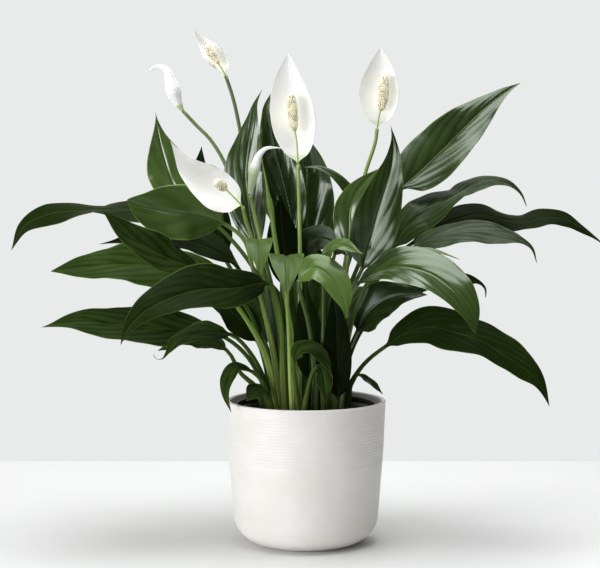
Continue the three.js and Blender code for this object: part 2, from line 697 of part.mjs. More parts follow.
function spatheGeometry(flower) {
  const { spathe } = flower;
  const seat = seatOnScape(flower, SPATHE_FOOT_OFFSET);
  const curve = curveThrough([seat, ...spathe.route.map(toVector)]);
  const rings = [seatRing(flower, seat, SPATHE_FOOT_RADIUS)];
  for (let i = 1; i < SPATHE_STATIONS; i += 1) {
    const v = stationAt(i, SPATHE_STATIONS);
    const frame = frameAt(curve, v, facingAt(spathe.facing, v));
    const half = Math.max(spatheHalfWidth(spathe, v), SPATHE_FOOT_RADIUS * (1 - v));
    const ring = COLUMNS.map((q) => place(frame, q * half, spatheLift(spathe, v, q)));
    for (const q of BACK_COLUMNS) {
      const depth = q === 0 ? KEEL_TIP_THICKNESS : BLADE_THICKNESS;
      ring.push(place(frame, q * half, spatheLift(spathe, v, q) - depth));
    }
    rings.push(ring);
  }
  return loft(rings, curve.getPointAt(1));
}

// A spathe that is still rolled shut: a slim bud with a drawn-out, bent tip.
function budGeometry(flower) {
  const { bud } = flower;
  const seat = seatOnScape(flower, 0);
  const curve = curveThrough([seat, ...bud.route.map(toVector)]);
  const rings = [seatRing(flower, seat, SCAPE_TOP_RADIUS)];
  for (let i = 1; i < BUD_STATIONS; i += 1) {
    const v = i / BUD_STATIONS;
    const swell = Math.sin(Math.PI * Math.min(1, v / bud.fullAt / 2 + BUD_FOOT_SWELL));
    const taper = ((1 - v) / (1 - bud.fullAt)) ** BUD_TAPER;
    const radius = Math.max(BUD_TIP_RADIUS, bud.radius * (v < bud.fullAt ? swell : taper));
    rings.push(petioleRing(frameAt(curve, v, FRONT), radius));
  }
  return loft(rings, curve.getPointAt(1));
}

// The cream flower column on its short stipe, covered in florets in a checker relief.
function spadixGeometry(flower) {
  const { spadix } = flower;
  const seat = seatOnScape(flower, STIPE_OFFSET);
  const curve = curveThrough([seat, ...spadix.route.map(toVector)]);
  const rings = [seatRing(flower, seat, STIPE_RADIUS)];
  rings.push(petioleRing(frameAt(curve, spadix.stipe / 2, FRONT), STIPE_RADIUS));
  rings.push(petioleRing(frameAt(curve, spadix.stipe, FRONT), STIPE_RADIUS));
  for (let i = 0; i < SPADIX_RINGS; i += 1) {
    const v = (i + 0.5) / SPADIX_RINGS;
    const u = spadix.stipe + (1 - spadix.stipe) * v;
    const frame = frameAt(curve, u, FRONT);
    const swell = Math.sin(Math.PI * THREE.MathUtils.lerp(SPADIX_BLUNT, 1 - SPADIX_BLUNT, v));
    const body = spadix.radius * (swell ** SPADIX_ROUNDING);
    const ring = [];
    for (let j = 0; j < SPADIX_SIDES; j += 1) {
      const angle = Math.PI - (j + 0.5 * (i % 2)) * 2 * Math.PI / SPADIX_SIDES;
      const relief = (i + j) % 2 === 0 ? FLORET_RELIEF : -FLORET_RELIEF;
      const radius = body * (1 + relief);
      ring.push(place(frame, radius * Math.cos(angle), radius * Math.sin(angle)));
    }
    rings.push(ring);
  }
  return loft(rings, curve.getPointAt(1));
}

const FLOWERS = [
  {
    name: 'flower_centre',
    scape: [[-6, -17], [-6, -16, 200], [-6, -14, 290], [-8, -11, 379]],
    spathe: {
      route: [[-9, -4, 395], [-13, 1, 425], [-17, 2, 455], [-18, -1, 489]],
      facing: [[0, -1, 0.05]], width: 44, taper: 0.95, cup: 0.35,
    },
    spadix: {
      route: [[-9, -12, 400], [-12, -11, 418], [-15, -10, 448]],
      stipe: 0.5, radius: 5,
    },
  },
  {
    name: 'flower_right',
    scape: [[12, 6], [15, 6, 190], [34, 6, 254], [46, 6, 319], [60, 6, 373], [69, 6, 401],
      [71, 6, 415]],
    spathe: {
      route: [[72, 12, 428], [73, 16, 452], [74, 14, 475], [74, 8, 495]],
      facing: [[0, -1, 0.05]], width: 40, taper: 0.95, cup: 0.4,
    },
    spadix: {
      route: [[73, 4.5, 428], [76, 5, 440], [78, 5, 468]],
      stipe: 0.35, radius: 5.2,
    },
  },
  {
    name: 'flower_front_left',
    scape: [[-27, -1], [-30, -6, 200], [-40, -17, 262], [-53, -27, 306], [-58, -30, 321],
      [-62, -34, 338]],
    spathe: {
      route: [[-74, -33, 344], [-94, -36, 355], [-114, -44, 373], [-131, -52, 402]],
      facing: [[0.3, -0.85, 0.4]], width: 44, taper: 1.5, cup: 0.3,
    },
    spadix: {
      route: [[-71, -41, 348], [-79, -48, 356], [-86, -71, 362]],
      stipe: 0.5, radius: 4.8,
    },
  },
  {
    name: 'flower_high_left',
    scape: [[-14, 22], [-28, 30, 210], [-51, 38, 313], [-62, 43, 375], [-68, 46, 418],
      [-75, 48, 449], [-82, 50, 470]],
    spathe: {
      route: [[-90, 55, 483], [-101, 57, 497], [-108, 56, 507], [-115, 52, 517]],
      facing: [[0.5, -0.8, -0.2]], width: 22, taper: 1.2, cup: 0.5,
    },
    spadix: {
      route: [[-87, 48, 479], [-92, 48, 486], [-102, 47, 500]],
      stipe: 0.4, radius: 3.6,
    },
  },
];

const BUDS = [
  {
    name: 'bud_left',
    scape: [[-20, 24], [-34, 36, 215], [-65, 48, 328], [-84, 54, 382], [-99, 57, 406],
      [-112, 59, 419], [-127, 60, 435]],
    bud: {
      route: [[-134, 60, 448], [-139, 60, 464], [-143, 60, 476], [-152, 60, 480],
        [-165, 60, 474]],
      radius: 8, fullAt: 0.35,
    },
  },
  {
    name: 'bud_centre_left',
    scape: [[-14, 0], [-17, 1, 190], [-32, 3, 250], [-46, 4, 306], [-53, 5, 335],
      [-56, 5, 349]],
    bud: {
      route: [[-54, 5, 362], [-51, 5, 376], [-47, 5, 388], [-40, 5, 395], [-30, 5, 396],
        [-21, 5, 395]],
      radius: 5.2, fullAt: 0.4,
    },
  },
];

// The newest leaf, still rolled into a spear.
const SPEAR = {
  name: 'leaf_spear',
  scape: [[-8, -6], [-13, -6, 200], [-25, -5, 270], [-32, -4, 312], [-34, -4, 329],
    [-37, -4, 345], [-40, -4, 364], [-44, -4, 384]],
};

function spearRadius(t) {
  if (t >= SPEAR_POINT_FROM) {
    const left = (1 - t) / (1 - SPEAR_POINT_FROM);
    return Math.max(SPEAR_TIP_RADIUS, SPEAR_POINT_RADIUS * left);
  }
  const away = (t - SPEAR_THICKEST) / SPEAR_SWELL_LENGTH;
  return SPEAR_RADIUS + SPEAR_SWELL * Math.exp(-(away ** 2));
}

function spearGeometry() {
  const curve = scapeCurve(SPEAR);
  const [[footX, footY]] = SPEAR.scape;
  const rings = footRings(new THREE.Vector3(footX, footY, STEM_FOOT), SPEAR_RADIUS);
  for (let i = 1; i < SPEAR_STATIONS; i += 1) {
    const t = i / SPEAR_STATIONS;
    rings.push(petioleRing(frameAt(curve, t, FRONT), spearRadius(t)));
  }
  return loft(rings, curve.getPointAt(1));
}

// ---------------------------------------------------------------- pots and soil

function potProfile() {
  const at = (x, y) => new THREE.Vector2(x, y);
  const profile = [at(0, 0)];
  const flat = POT_WAIST_RADIUS - POT_CORNER;
  const arcSteps = 6;
  const innerSteps = 3;
  for (let i = 0; i <= arcSteps; i += 1) {
    const angle = -Math.PI / 2 + (Math.PI / 2 - POT_CORNER_REST) * i / arcSteps;
    profile.push(at(flat + POT_CORNER * Math.cos(angle), POT_CORNER * (1 + Math.sin(angle))));
  }
  profile.push(at(POT_BELLY_RADIUS, POT_BELLY_HEIGHT));
  profile.push(at(POT_RIM_RADIUS, POT_HEIGHT - POT_LIP));
  profile.push(at(POT_RIM_RADIUS - POT_LIP, POT_HEIGHT));
  profile.push(at(POT_RIM_RADIUS - POT_WALL + POT_LIP, POT_HEIGHT));
  profile.push(at(POT_RIM_RADIUS - POT_WALL, POT_HEIGHT - POT_LIP));
  profile.push(at(POT_BELLY_RADIUS - POT_WALL, POT_BELLY_HEIGHT));
  const inner = POT_CORNER - POT_WALL;
  for (let i = innerSteps; i >= 0; i -= 1) {
    const angle = -Math.PI / 2 + (Math.PI / 2 - POT_CORNER_REST) * i / innerSteps;
    profile.push(at(flat + inner * Math.cos(angle), POT_FLOOR + inner * (1 + Math.sin(angle))));
  }
  profile.push(at(0, POT_FLOOR));
  return profile;
}

function nurseryRadiusAt(z) {
  const foot = POT_FLOOR + GAP;
  const t = (z - foot) / (NURSERY_TOP - NURSERY_RIM_HEIGHT - foot);
  return THREE.MathUtils.lerp(NURSERY_BASE_RADIUS, NURSERY_TOP_RADIUS, Math.min(t, 1));
}

function nurseryProfile() {
  const at = (x, y) => new THREE.Vector2(x, y);
  const foot = POT_FLOOR + GAP;
  const shoulder = NURSERY_TOP - NURSERY_RIM_HEIGHT;
  return [
    at(0, foot),
    at(NURSERY_BASE_RADIUS, foot),
    at(NURSERY_TOP_RADIUS, shoulder),
    at(NURSERY_RIM_RADIUS, shoulder),
    at(NURSERY_RIM_RADIUS, NURSERY_TOP - NURSERY_LIP),
    at(NURSERY_RIM_RADIUS - NURSERY_LIP, NURSERY_TOP),
    at(NURSERY_RIM_RADIUS - NURSERY_WALL, NURSERY_TOP),
    at(NURSERY_TOP_RADIUS - NURSERY_WALL, shoulder),
    at(NURSERY_BASE_RADIUS - NURSERY_WALL, foot + NURSERY_WALL),
    at(0, foot + NURSERY_WALL),
  ];
}

function stemFeet() {
  const feet = LEAVES.map((leaf) => [leaf.route[0], PETIOLE_FOOT_RADIUS]);
  for (const shoot of SHOOTS) {
    feet.push(...shoot.leaves.map((leaf) => [leaf.route[0], PETIOLE_FOOT_RADIUS]));
  }
  feet.push(...[...FLOWERS, ...BUDS, SPEAR].map((f) => [f.scape[0], SCAPE_FOOT_RADIUS]));
  return feet;
}

function soilGeometry() {
  const bottom = POT_FLOOR + GAP + NURSERY_WALL + GAP;
  const profile = [
    new THREE.Vector2(0, bottom),
    new THREE.Vector2(nurseryRadiusAt(bottom) - NURSERY_WALL - SOIL_CLEARANCE, bottom),
    new THREE.Vector2(nurseryRadiusAt(SOIL_TOP) - NURSERY_WALL - SOIL_CLEARANCE, SOIL_TOP),
    new THREE.Vector2(0, SOIL_TOP),
  ];
  let solid = toSolid(latheAroundZ(profile, SOIL_SEGMENTS));
  for (const [[x, y], radius] of stemFeet()) {
    const wide = radius + HOLE_CLEARANCE;
    const hole = new THREE.CylinderGeometry(wide, wide, 2 * HOLE_DEPTH, HOLE_SIDES);
    hole.rotateX(Math.PI / 2);
    hole.translate(x, y, SOIL_TOP);
    solid = solid.subtract(toSolid(hole));
  }
  return toGeometry(solid);
}

// ---------------------------------------------------------------- the whole

addPiece('ceramic_pot', latheAroundZ(potProfile(), POT_SEGMENTS), 'ceramic');
addPiece('nursery_pot', latheAroundZ(nurseryProfile(), NURSERY_SEGMENTS), 'blackPlastic');
addPiece('soil', soilGeometry(), 'soil');
for (const leaf of LEAVES) {
  addPiece(leaf.name, leafGeometry(leaf), leaf.look ?? 'leaf');
}
for (const shoot of SHOOTS) {
  addPiece(shoot.name, shootGeometry(shoot), 'leaf');
}
addPiece(SPEAR.name, spearGeometry(), 'youngLeaf');
for (const flower of FLOWERS) {
  addPiece(`${flower.name}_scape`, scapeGeometry(flower), 'scape');
  addPiece(`${flower.name}_spathe`, spatheGeometry(flower), 'spathe');
  addPiece(`${flower.name}_spadix`, spadixGeometry(flower), 'spadix');
}
for (const flower of BUDS) {
  addPiece(`${flower.name}_scape`, scapeGeometry(flower), 'scape');
  addPiece(`${flower.name}_spathe`, budGeometry(flower), 'spathe');
}

export default group;
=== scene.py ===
"""The looks of a potted peace lily: two pots, soil, leaves, flowers and buds.

Metres in the scene, millimetres in the tables. +Z is up and -Y is the front.
"""

import functools
import math

import bmesh
import bpy
import numpy as np
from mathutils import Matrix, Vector, noise


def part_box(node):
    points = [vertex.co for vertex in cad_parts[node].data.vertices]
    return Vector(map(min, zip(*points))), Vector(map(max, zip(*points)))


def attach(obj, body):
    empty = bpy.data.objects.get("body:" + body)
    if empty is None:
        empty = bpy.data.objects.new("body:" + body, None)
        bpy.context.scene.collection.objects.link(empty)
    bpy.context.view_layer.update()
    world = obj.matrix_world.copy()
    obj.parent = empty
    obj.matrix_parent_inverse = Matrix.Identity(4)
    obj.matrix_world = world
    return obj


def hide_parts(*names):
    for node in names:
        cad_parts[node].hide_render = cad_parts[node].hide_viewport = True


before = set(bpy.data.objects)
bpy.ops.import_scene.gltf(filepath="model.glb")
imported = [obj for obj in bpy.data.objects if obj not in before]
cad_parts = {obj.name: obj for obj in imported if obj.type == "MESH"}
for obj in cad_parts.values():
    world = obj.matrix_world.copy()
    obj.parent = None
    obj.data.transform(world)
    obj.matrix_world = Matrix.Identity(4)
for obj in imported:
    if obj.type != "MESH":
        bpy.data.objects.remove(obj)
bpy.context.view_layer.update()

bl_info = {
    "name": "Potted Peace Lily",
    "version": (1, 0, 0),
    "blender": (4, 5, 0),
    "location": "3D View > Sidebar > Peace Lily",
    "description": "Builds a potted peace lily round its CAD frame",
    "category": "Add Mesh",
}

MM = 0.001
TAU = 2 * math.pi


# ---------------------------------------------------------------- settings

def linear(hex_value):
    """An sRGB hex colour as linear red, green, blue and alpha."""
    channels = [int(hex_value[i:i + 2], 16) / 255 for i in (1, 3, 5)]
    light = [c / 12.92 if c <= 0.04045 else ((c + 0.055) / 1.055) ** 2.4 for c in channels]
    return (*light, 1.0)


def colour_setting(name, description, hex_value):
    return bpy.props.FloatVectorProperty(
        name=name, description=description, subtype="COLOR", size=4, min=0, max=1,
        default=linear(hex_value))


def length_setting(name, description, metres):
    return bpy.props.FloatProperty(
        name=name, description=description, default=metres, unit="LENGTH")


class LilyPotSettings(bpy.types.PropertyGroup):
    """Sizes and colours of the two pots and the soil."""

    rim_radius: length_setting("Rim radius", "Outer radius of the ceramic pot at its rim",
                               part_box("ceramic_pot")[1].x)
    height: length_setting("Height", "Height of the ceramic pot",
                           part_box("ceramic_pot")[1].z)
    groove_pitch: length_setting("Groove pitch", "Distance between the turned grooves", 0.003)
    groove_depth: length_setting("Groove depth", "Depth of the turned grooves", 0.0002)
    glaze: colour_setting("Glaze", "Colour of the satin glaze", "#f2eeec")
    plastic: colour_setting("Nursery pot", "Colour of the moulded nursery pot", "#161716")
    soil: colour_setting("Soil", "Colour of the damp potting mix", "#1a1510")


class LilyPlantSettings(bpy.types.PropertyGroup):
    """Colours and fine relief of the leaves and flowers."""

    leaf_dark: colour_setting("Leaf, dark", "Upper side of an old leaf", "#1d2a0d")
    leaf_light: colour_setting("Leaf, light", "Upper side of a young leaf", "#62803c")
    leaf_back: colour_setting("Leaf, back", "Under side of a leaf", "#4a5c36")
    stalk: colour_setting("Stalk", "Leaf stalk below its blade", "#8fb054")
    sheath: colour_setting("Sheath", "Pale foot of a leaf stalk", "#c6da7c")
    scape: colour_setting("Flower stalk", "Stalk of a flower", "#a4ba6c")
    spathe: colour_setting("Spathe", "White flower leaf", "#fafaf8")
    spadix: colour_setting("Spadix", "Cream flower column", "#fdf8e4")
    vein_relief: length_setting("Vein relief", "Height of the leaf between its side veins",
                                0.00045)
    leaf_thickness: length_setting("Leaf thickness", "Thickness of a blade beside its midrib",
                                   0.00045)


class LilyStageSettings(bpy.types.PropertyGroup):
    """The floor, the backdrop and the camera."""

    floor: colour_setting("Floor", "Colour of the plain floor", "#f4f5f4")
    backdrop: colour_setting("Backdrop", "Colour of the plain backdrop", "#e9ebeb")
    lens: bpy.props.FloatProperty(
        name="Lens", description="Focal length of the camera in millimetres",
        default=96.2, min=20, max=300)


# ---------------------------------------------------------------- routes in mm

def leaf(name, base, width, look, route, facing, phase=0, wave=2.5, waves=2, shoulder=0.75,
         taper=1.25, fold=0.3):
    """A row of the leaf tables.

    base counts the route point where the blade starts. look is the leaf's tone, from 0
    for an old dark leaf to 1 for a young light one, and below 0 painted darker as
    painted shade of the crown; how pale its stalk is, from 0 to 1, where a low value
    paints the stalk dark, partly its own green and partly painted shade of the crown;
    and its finish. route starts with the stem's place in the soil, then runs up the
    leaf stalk and along the midrib to the tip. facing lists the ways that the blade
    faces from its base to its tip."""
    return {"name": name, "base": base, "width": width, "look": look, "route": route,
            "facing": facing, "phase": phase, "wave": wave, "waves": waves,
            "shoulder": shoulder, "taper": taper, "fold": fold}


SHOOT_LOOK = (0.15, 0.2, "dull")

# A tone below 0 paints a leaf darker than its own green, as painted shade of the crown.
LEAVES = (
    leaf("leaf_left_far", 3, 48, (0.0, 0.2, "dull"),
         ((-20, 8), (-26, 10, 200), (-50, 14, 270), (-102, 22, 325), (-160, 30, 333),
          (-208, 38, 334), (-268, 46, 328), (-290, 50, 316), (-304, 52, 291)),
         ((0, -0.7, 0.7), (0, -0.5, 0.85), (0, -0.15, 1), (-0.1, -0.75, 0.65), (-0.5, -0.8, 0.4)),
         phase=1, taper=1.1, fold=0.08),
    # Its tone is set high partly as painted sheen.
    leaf("leaf_left_upper", 5, 55, (0.45, 0.6, "satin"),
         ((-22, -8), (-34, -12, 200), (-46, -16, 252), (-53, -20, 278), (-61, -23, 305),
          (-80, -28, 321), (-104, -34, 330), (-132, -42, 333), (-156, -48, 338), (-173, -53, 345)),
         ((-0.25, -0.95, 0.15),), phase=2, taper=0.9),
    leaf("leaf_left_middle", 4, 38, (0.12, 0.8, "dull"),
         ((-28, -18), (-40, -22, 190), (-62, -30, 232), (-88, -38, 264), (-103, -44, 276),
          (-138, -65, 292), (-166, -78, 311), (-193, -89, 336)),
         ((0, -0.7, 0.7), (0, -0.9, 0.4)), phase=0.5),
    leaf("leaf_left_behind", 3, 38, (-0.2, 0.0, "dull"),
         ((-24, 12), (-34, 16, 205), (-56, 22, 252), (-72, 26, 278), (-108, 34, 298),
          (-160, 42, 304), (-213, 50, 298)),
         ((0, -0.6, 0.8),), phase=3),
    leaf("leaf_left_long", 3, 50, (0.2, 0.08, "dull"),
         ((-32, -4), (-42, -6, 190), (-58, -8, 235), (-78, -10, 258), (-98, -12, 268),
          (-136, -15, 276), (-166, -17, 280), (-196, -19, 280), (-252, -22, 274)),
         ((0, -0.8, 0.6),), phase=4, wave=3.5, waves=2.5, taper=1),
    leaf("leaf_front_left", 4, 53, (0.0, 0.3, "dull"),
         ((-20, -26), (-23, -28, 175), (-24, -30, 220), (-29, -33, 247), (-37, -37, 262),
          (-73, -62, 260), (-101, -80, 260), (-129, -96, 253), (-151, -108, 242),
          (-166, -115, 226), (-173, -119, 211)),
         ((0, -0.8, 0.6), (-0.2, -0.8, 0.5)), phase=1, wave=2),
    leaf("leaf_left_low", 3, 46, (0.12, 0.1, "dull"),
         ((-36, -10), (-44, -12, 165), (-66, -15, 197), (-92, -19, 213), (-143, -30, 218),
          (-191, -38, 223), (-225, -43, 226), (-258, -47, 221)),
         ((0, -0.78, 0.62),), phase=2, wave=3),
    leaf("leaf_left_low_front", 3, 30, (0.15, 0.1, "dull"),
         ((-36, -18), (-43, -23, 170), (-60, -32, 201), (-74, -39, 213), (-112, -58, 215),
          (-126, -65, 208), (-132, -69, 199), (-138, -71, 193), (-144, -71, 193),
          (-147, -71, 198)),
         ((0, -0.5, 0.86), (0, -0.5, 0.86), (-0.6, -0.6, 0.4)), phase=3, taper=2.1),
    leaf("leaf_left_lowest", 3, 26, (0.1, 0.1, "dull"),
         ((-40, 0), (-50, 2, 155), (-66, 4, 170), (-80, 5, 193), (-112, 6, 204), (-150, 8, 192)),
         ((0, -0.6, 0.8),)),
    # Its tone is set high partly as painted sheen for its bright stripes.
    leaf("leaf_left_upright", 4, 46, (0.55, 0.1, "waxed"),
         ((-26, 22), (-40, 30, 190), (-68, 44, 255), (-100, 58, 308), (-122, 66, 335),
          (-138, 71, 360), (-150, 76, 396), (-157, 80, 436)),
         ((0.2, -0.95, 0.2),), phase=5, shoulder=1.1, taper=2),
    leaf("leaf_centre_left_upright", 3, 46, (0.2, 0.05, "waxed"),
         ((-12, 14), (-18, 17, 190), (-36, 21, 252), (-48, 24, 290), (-57, 25, 330),
          (-61, 26, 370), (-58, 27, 400), (-54, 28, 425), (-51, 29, 440), (-44, 30, 456)),
         ((-0.38, -0.9, 0.25),), phase=1, wave=2, shoulder=1.1, taper=1.7),
    leaf("leaf_centre_tall", 4, 48, (0.2, 0.05, "waxed"),
         ((-4, 16), (-5, 20, 200), (-8, 28, 262), (-10, 31, 285), (-12, 34, 305), (-17, 36, 335),
          (-25, 38, 369), (-32, 40, 397), (-37, 41, 425), (-39, 42, 438), (-36, 42, 452)),
         ((-0.36, -0.9, 0.28),), phase=2, wave=2),
    leaf("leaf_centre_right_upright", 3, 60, (0.2, 0.05, "waxed"),
         ((6, 20), (7, 30, 200), (5, 46, 250), (3, 52, 275), (1, 55, 305), (0, 56, 345),
          (0, 57, 375), (-1, 58, 410)),
         ((-0.25, -0.95, 0.3),), phase=4, wave=2, shoulder=1, taper=1, fold=0.12),
    leaf("leaf_centre_arching", 4, 14, (0.15, 0.1, "satin"),
         ((13, 15), (18, 18, 190), (34, 26, 250), (49, 27, 298), (55, 26, 320), (53, 26, 341),
          (42, 26, 355), (28, 26, 369), (14, 26, 376), (-3, 26, 377)),
         ((0.5, -0.8, 0), (0.4, -0.75, 0.5), (0, -0.75, 0.65)), wave=0.5, fold=0.15),
    leaf("leaf_front_right_upright", 3, 46, (0.14, 0.1, "glossy"),
         ((16, -22), (22, -27, 190), (38, -33, 245), (54, -38, 276), (61, -41, 300),
          (70, -44, 334), (78, -46, 360), (83, -47, 380), (84, -49, 402), (81, -50, 418)),
         ((0.12, -0.93, 0.38),), phase=3, wave=2, taper=1.6, fold=0.4),
    leaf("leaf_right_bright", 4, 32, (0.35, 0.5, "waxed"),
         ((20, -6), (26, -7, 190), (36, -6, 240), (40, -5, 268), (42, -4, 288), (43, -4, 315),
          (44, -3, 336), (50, -2, 352), (60, -1, 364), (72, 0, 375)),
         ((-0.3, -0.93, 0.3),), phase=2, wave=1.5),
    leaf("leaf_right_upper", 4, 60, (0.14, 0.05, "glossy"),
         ((24, 10), (35, 15, 225), (56, 24, 284), (80, 30, 328), (97, 35, 354), (117, 41, 373),
          (138, 46, 393), (159, 51, 414), (180, 56, 434), (202, 61, 452), (222, 65, 464)),
         ((-0.3, -0.85, 0.4),), phase=1, wave=2, shoulder=0.5),
    leaf("leaf_right_curled", 4, 46, (0.1, 0.1, "soft"),
         ((26, 2), (30, 4, 180), (45, 8, 222), (68, 12, 266), (87, 16, 294), (105, 19, 320),
          (131, 23, 337), (155, 27, 351), (169, 30, 359), (185, 33, 363), (204, 36, 361),
          (219, 38, 350), (226, 39, 336)),
         ((-0.3, -0.75, 0.55), (-0.25, -0.8, 0.5), (0, -0.05, 1), (0.2, -0.5, 0.85),
          (0.8, -0.3, 0.4)), phase=2, taper=1.3, fold=0.15),
    leaf("leaf_right_far", 4, 44, (-0.15, 0.0, "dull"),
         ((30, 18), (35, 21, 180), (51, 26, 236), (80, 31, 275), (107, 38, 298), (138, 46, 317),
          (176, 54, 328), (215, 60, 321), (228, 61, 321), (249, 64, 325), (270, 68, 323),
          (292, 71, 311), (321, 75, 289)),
         ((0, -0.5, 0.85), (0.1, -0.45, 0.9), (0.3, -0.5, 0.8)),
         phase=3, wave=3, waves=2.5, fold=0.08),
    leaf("leaf_right_slender", 4, 42, (0.05, 0.1, "soft"),
         ((28, -4), (33, -5, 180), (46, -8, 229), (75, -14, 270), (103, -18, 295),
          (124, -20, 306), (154, -22, 313), (183, -24, 312), (208, -26, 307), (221, -27, 298),
          (227, -28, 282)),
         ((0, -0.5, 0.85), (0, -0.5, 0.85), (0.7, -0.4, 0.6)), phase=1, wave=2, fold=0.1),
    leaf("leaf_front_right", 4, 54, (0.3, 0.5, "glossy"),
         ((26, -18), (28, -20, 172), (35, -23, 217), (42, -26, 243), (50, -30, 261),
          (64, -38, 272), (86, -50, 280), (114, -64, 276), (130, -72, 267), (144, -80, 254),
          (155, -86, 237), (160, -88, 219)),
         ((-0.2, -0.55, 0.8), (-0.1, -0.6, 0.8), (0.5, -0.6, 0.6)),
         phase=4, wave=2, shoulder=0.8, taper=0.9),
    leaf("leaf_right_shaded", 3, 44, (0.0, 0.15, "satin"),
         ((32, -10), (36, -12, 180), (44, -13, 198), (51, -15, 214), (60, -19, 231),
          (74, -25, 244), (92, -31, 251), (119, -37, 252)),
         ((-0.3, -0.8, 0.5),), phase=2, shoulder=0.6),
    leaf("leaf_right_low", 4, 46, (0.0, 0.1, "dull"),
         ((37, -4), (42, -7, 154), (54, -10, 176), (64, -12, 187), (78, -14, 198),
          (98, -18, 212), (122, -23, 219), (146, -27, 214), (170, -32, 207), (194, -36, 193),
          (213, -40, 180), (228, -43, 166), (238, -45, 143)),
         ((-0.1, -0.8, 0.6), (0.1, -0.8, 0.6), (0.6, -0.7, 0.4)), phase=5, wave=4.5, taper=1.05),
    leaf("leaf_right_behind", 3, 30, (-0.3, 0.0, "dull"),
         ((34, 4), (43, 6, 185), (62, 8, 222), (84, 10, 246), (120, 12, 258), (152, 15, 262),
          (171, 17, 262), (181, 18, 254), (182, 18, 244)),
         ((0, -0.5, 0.85), (0.2, -0.5, 0.8), (0.8, -0.4, 0.3)), phase=1),
    leaf("leaf_right_inner", 3, 13, (0.7, 0.2, "satin"),
         ((34, -18), (38, -18, 180), (46, -19, 225), (60, -23, 262), (78, -28, 280),
          (100, -36, 292), (123, -41, 295), (150, -44, 287)),
         ((0, -0.5, 0.85),), wave=0.5),
    leaf("leaf_over_right_rim", 3, 11, (0.05, 0.1, "satin"),
         ((42, 10), (44, 10, 150), (48, 10, 164), (53, 9, 168), (61, 8, 163), (69, 6, 157),
          (78, 4, 148)),
         ((0, -0.4, 1),), wave=0.5),
    leaf("leaf_front_arching", 4, 36, (0.9, 0.1, "satin"),
         ((10, -32), (8, -34, 180), (2, -39, 225), (-5, -43, 252), (-7, -47, 266), (8, -54, 279),
          (23, -60, 271), (31, -65, 259), (36, -69, 245), (40, -72, 231)),
         ((0, -0.6, 0.8), (0.6, -0.8, 0.2)), wave=1.5),
    leaf("leaf_front_forward", 3, 34, (0.5, 1.0, "soft"),
         ((-13, -29), (-16, -30, 200), (-19, -34, 255), (-19, -44, 280), (-19, -62, 291),
          (-19, -84, 288), (-18, -104, 273), (-18, -116, 256)),
         ((0, -0.1, 1), (0, -0.5, 0.9), (0, -1, 0.5)), wave=1.5),
    leaf("leaf_front_forward_left", 4, 26, (0.55, 0.2, "soft"),
         ((-18, -12), (-22, -13, 190), (-30, -20, 240), (-38, -29, 275), (-43, -37, 296),
          (-45, -48, 306), (-45, -66, 302), (-44, -80, 288), (-43, -88, 273)),
         ((0, -0.1, 1), (0, -0.5, 0.9), (0, -1, 0.5)), wave=1),
    leaf("leaf_front_small", 3, 18, (0.6, 0.1, "satin"),
         ((17, -30), (17, -33, 200), (17, -34, 255), (17, -37, 284), (31, -49, 301),
          (55, -61, 293)),
         ((0, -0.7, 0.7),), wave=1),
    leaf("leaf_centre_dark", 3, 36, (-0.6, 0.0, "dull"),
         ((-5, 5), (-8, 8, 190), (-14, 11, 235), (-17, 13, 255), (-21, 14, 285), (-25, 14, 320),
          (-26, 13, 350)),
         ((0, -1, 0.05),), wave=1, fold=0.1),
    leaf("leaf_centre_low", 3, 40, (-0.1, 0.0, "soft"),
         ((16, 22), (12, 24, 190), (4, 24, 238), (0, 24, 264), (3, 22, 290), (12, 18, 304),
          (26, 10, 302), (40, 2, 288)),
         ((0, -0.7, 0.7), (0.1, -0.8, 0.6)), phase=1, wave=1.5, fold=0.1),
    leaf("leaf_front_dark", 2, 30, (-0.3, 0.0, "dull"),
         ((2, -24), (2, -25, 150), (3, -26, 166), (3, -26, 190), (2, -27, 215), (0, -28, 235),
          (-1, -29, 252), (-2, -30, 266)),
         ((0.1, -1, 0),), wave=1.5),
    leaf("leaf_crown_right", 2, 28, (-0.7, 0.0, "dull"),
         ((29, -33), (30, -36, 140), (31, -38, 150), (31, -39, 175), (30, -39, 205),
          (29, -39, 232), (26, -38, 252)),
         ((0, -1, 0.05),), wave=1, shoulder=0.6, taper=0.9),
    leaf("leaf_left_inner", 3, 34, (-0.2, 0.0, "dull"),
         ((-34, 12), (-39, 15, 165), (-43, 17, 183), (-49, 20, 200), (-66, 22, 221),
          (-84, 24, 236), (-106, 27, 243)),
         ((0, -0.8, 0.6),)),
    leaf("leaf_left_back_upright", 3, 34, (-0.1, 0.0, "dull"),
         ((-22, 32), (-36, 40, 200), (-58, 54, 250), (-80, 70, 290), (-100, 82, 330),
          (-111, 91, 365), (-110, 100, 400)),
         ((0.1, -0.95, 0.2),), phase=2),
)

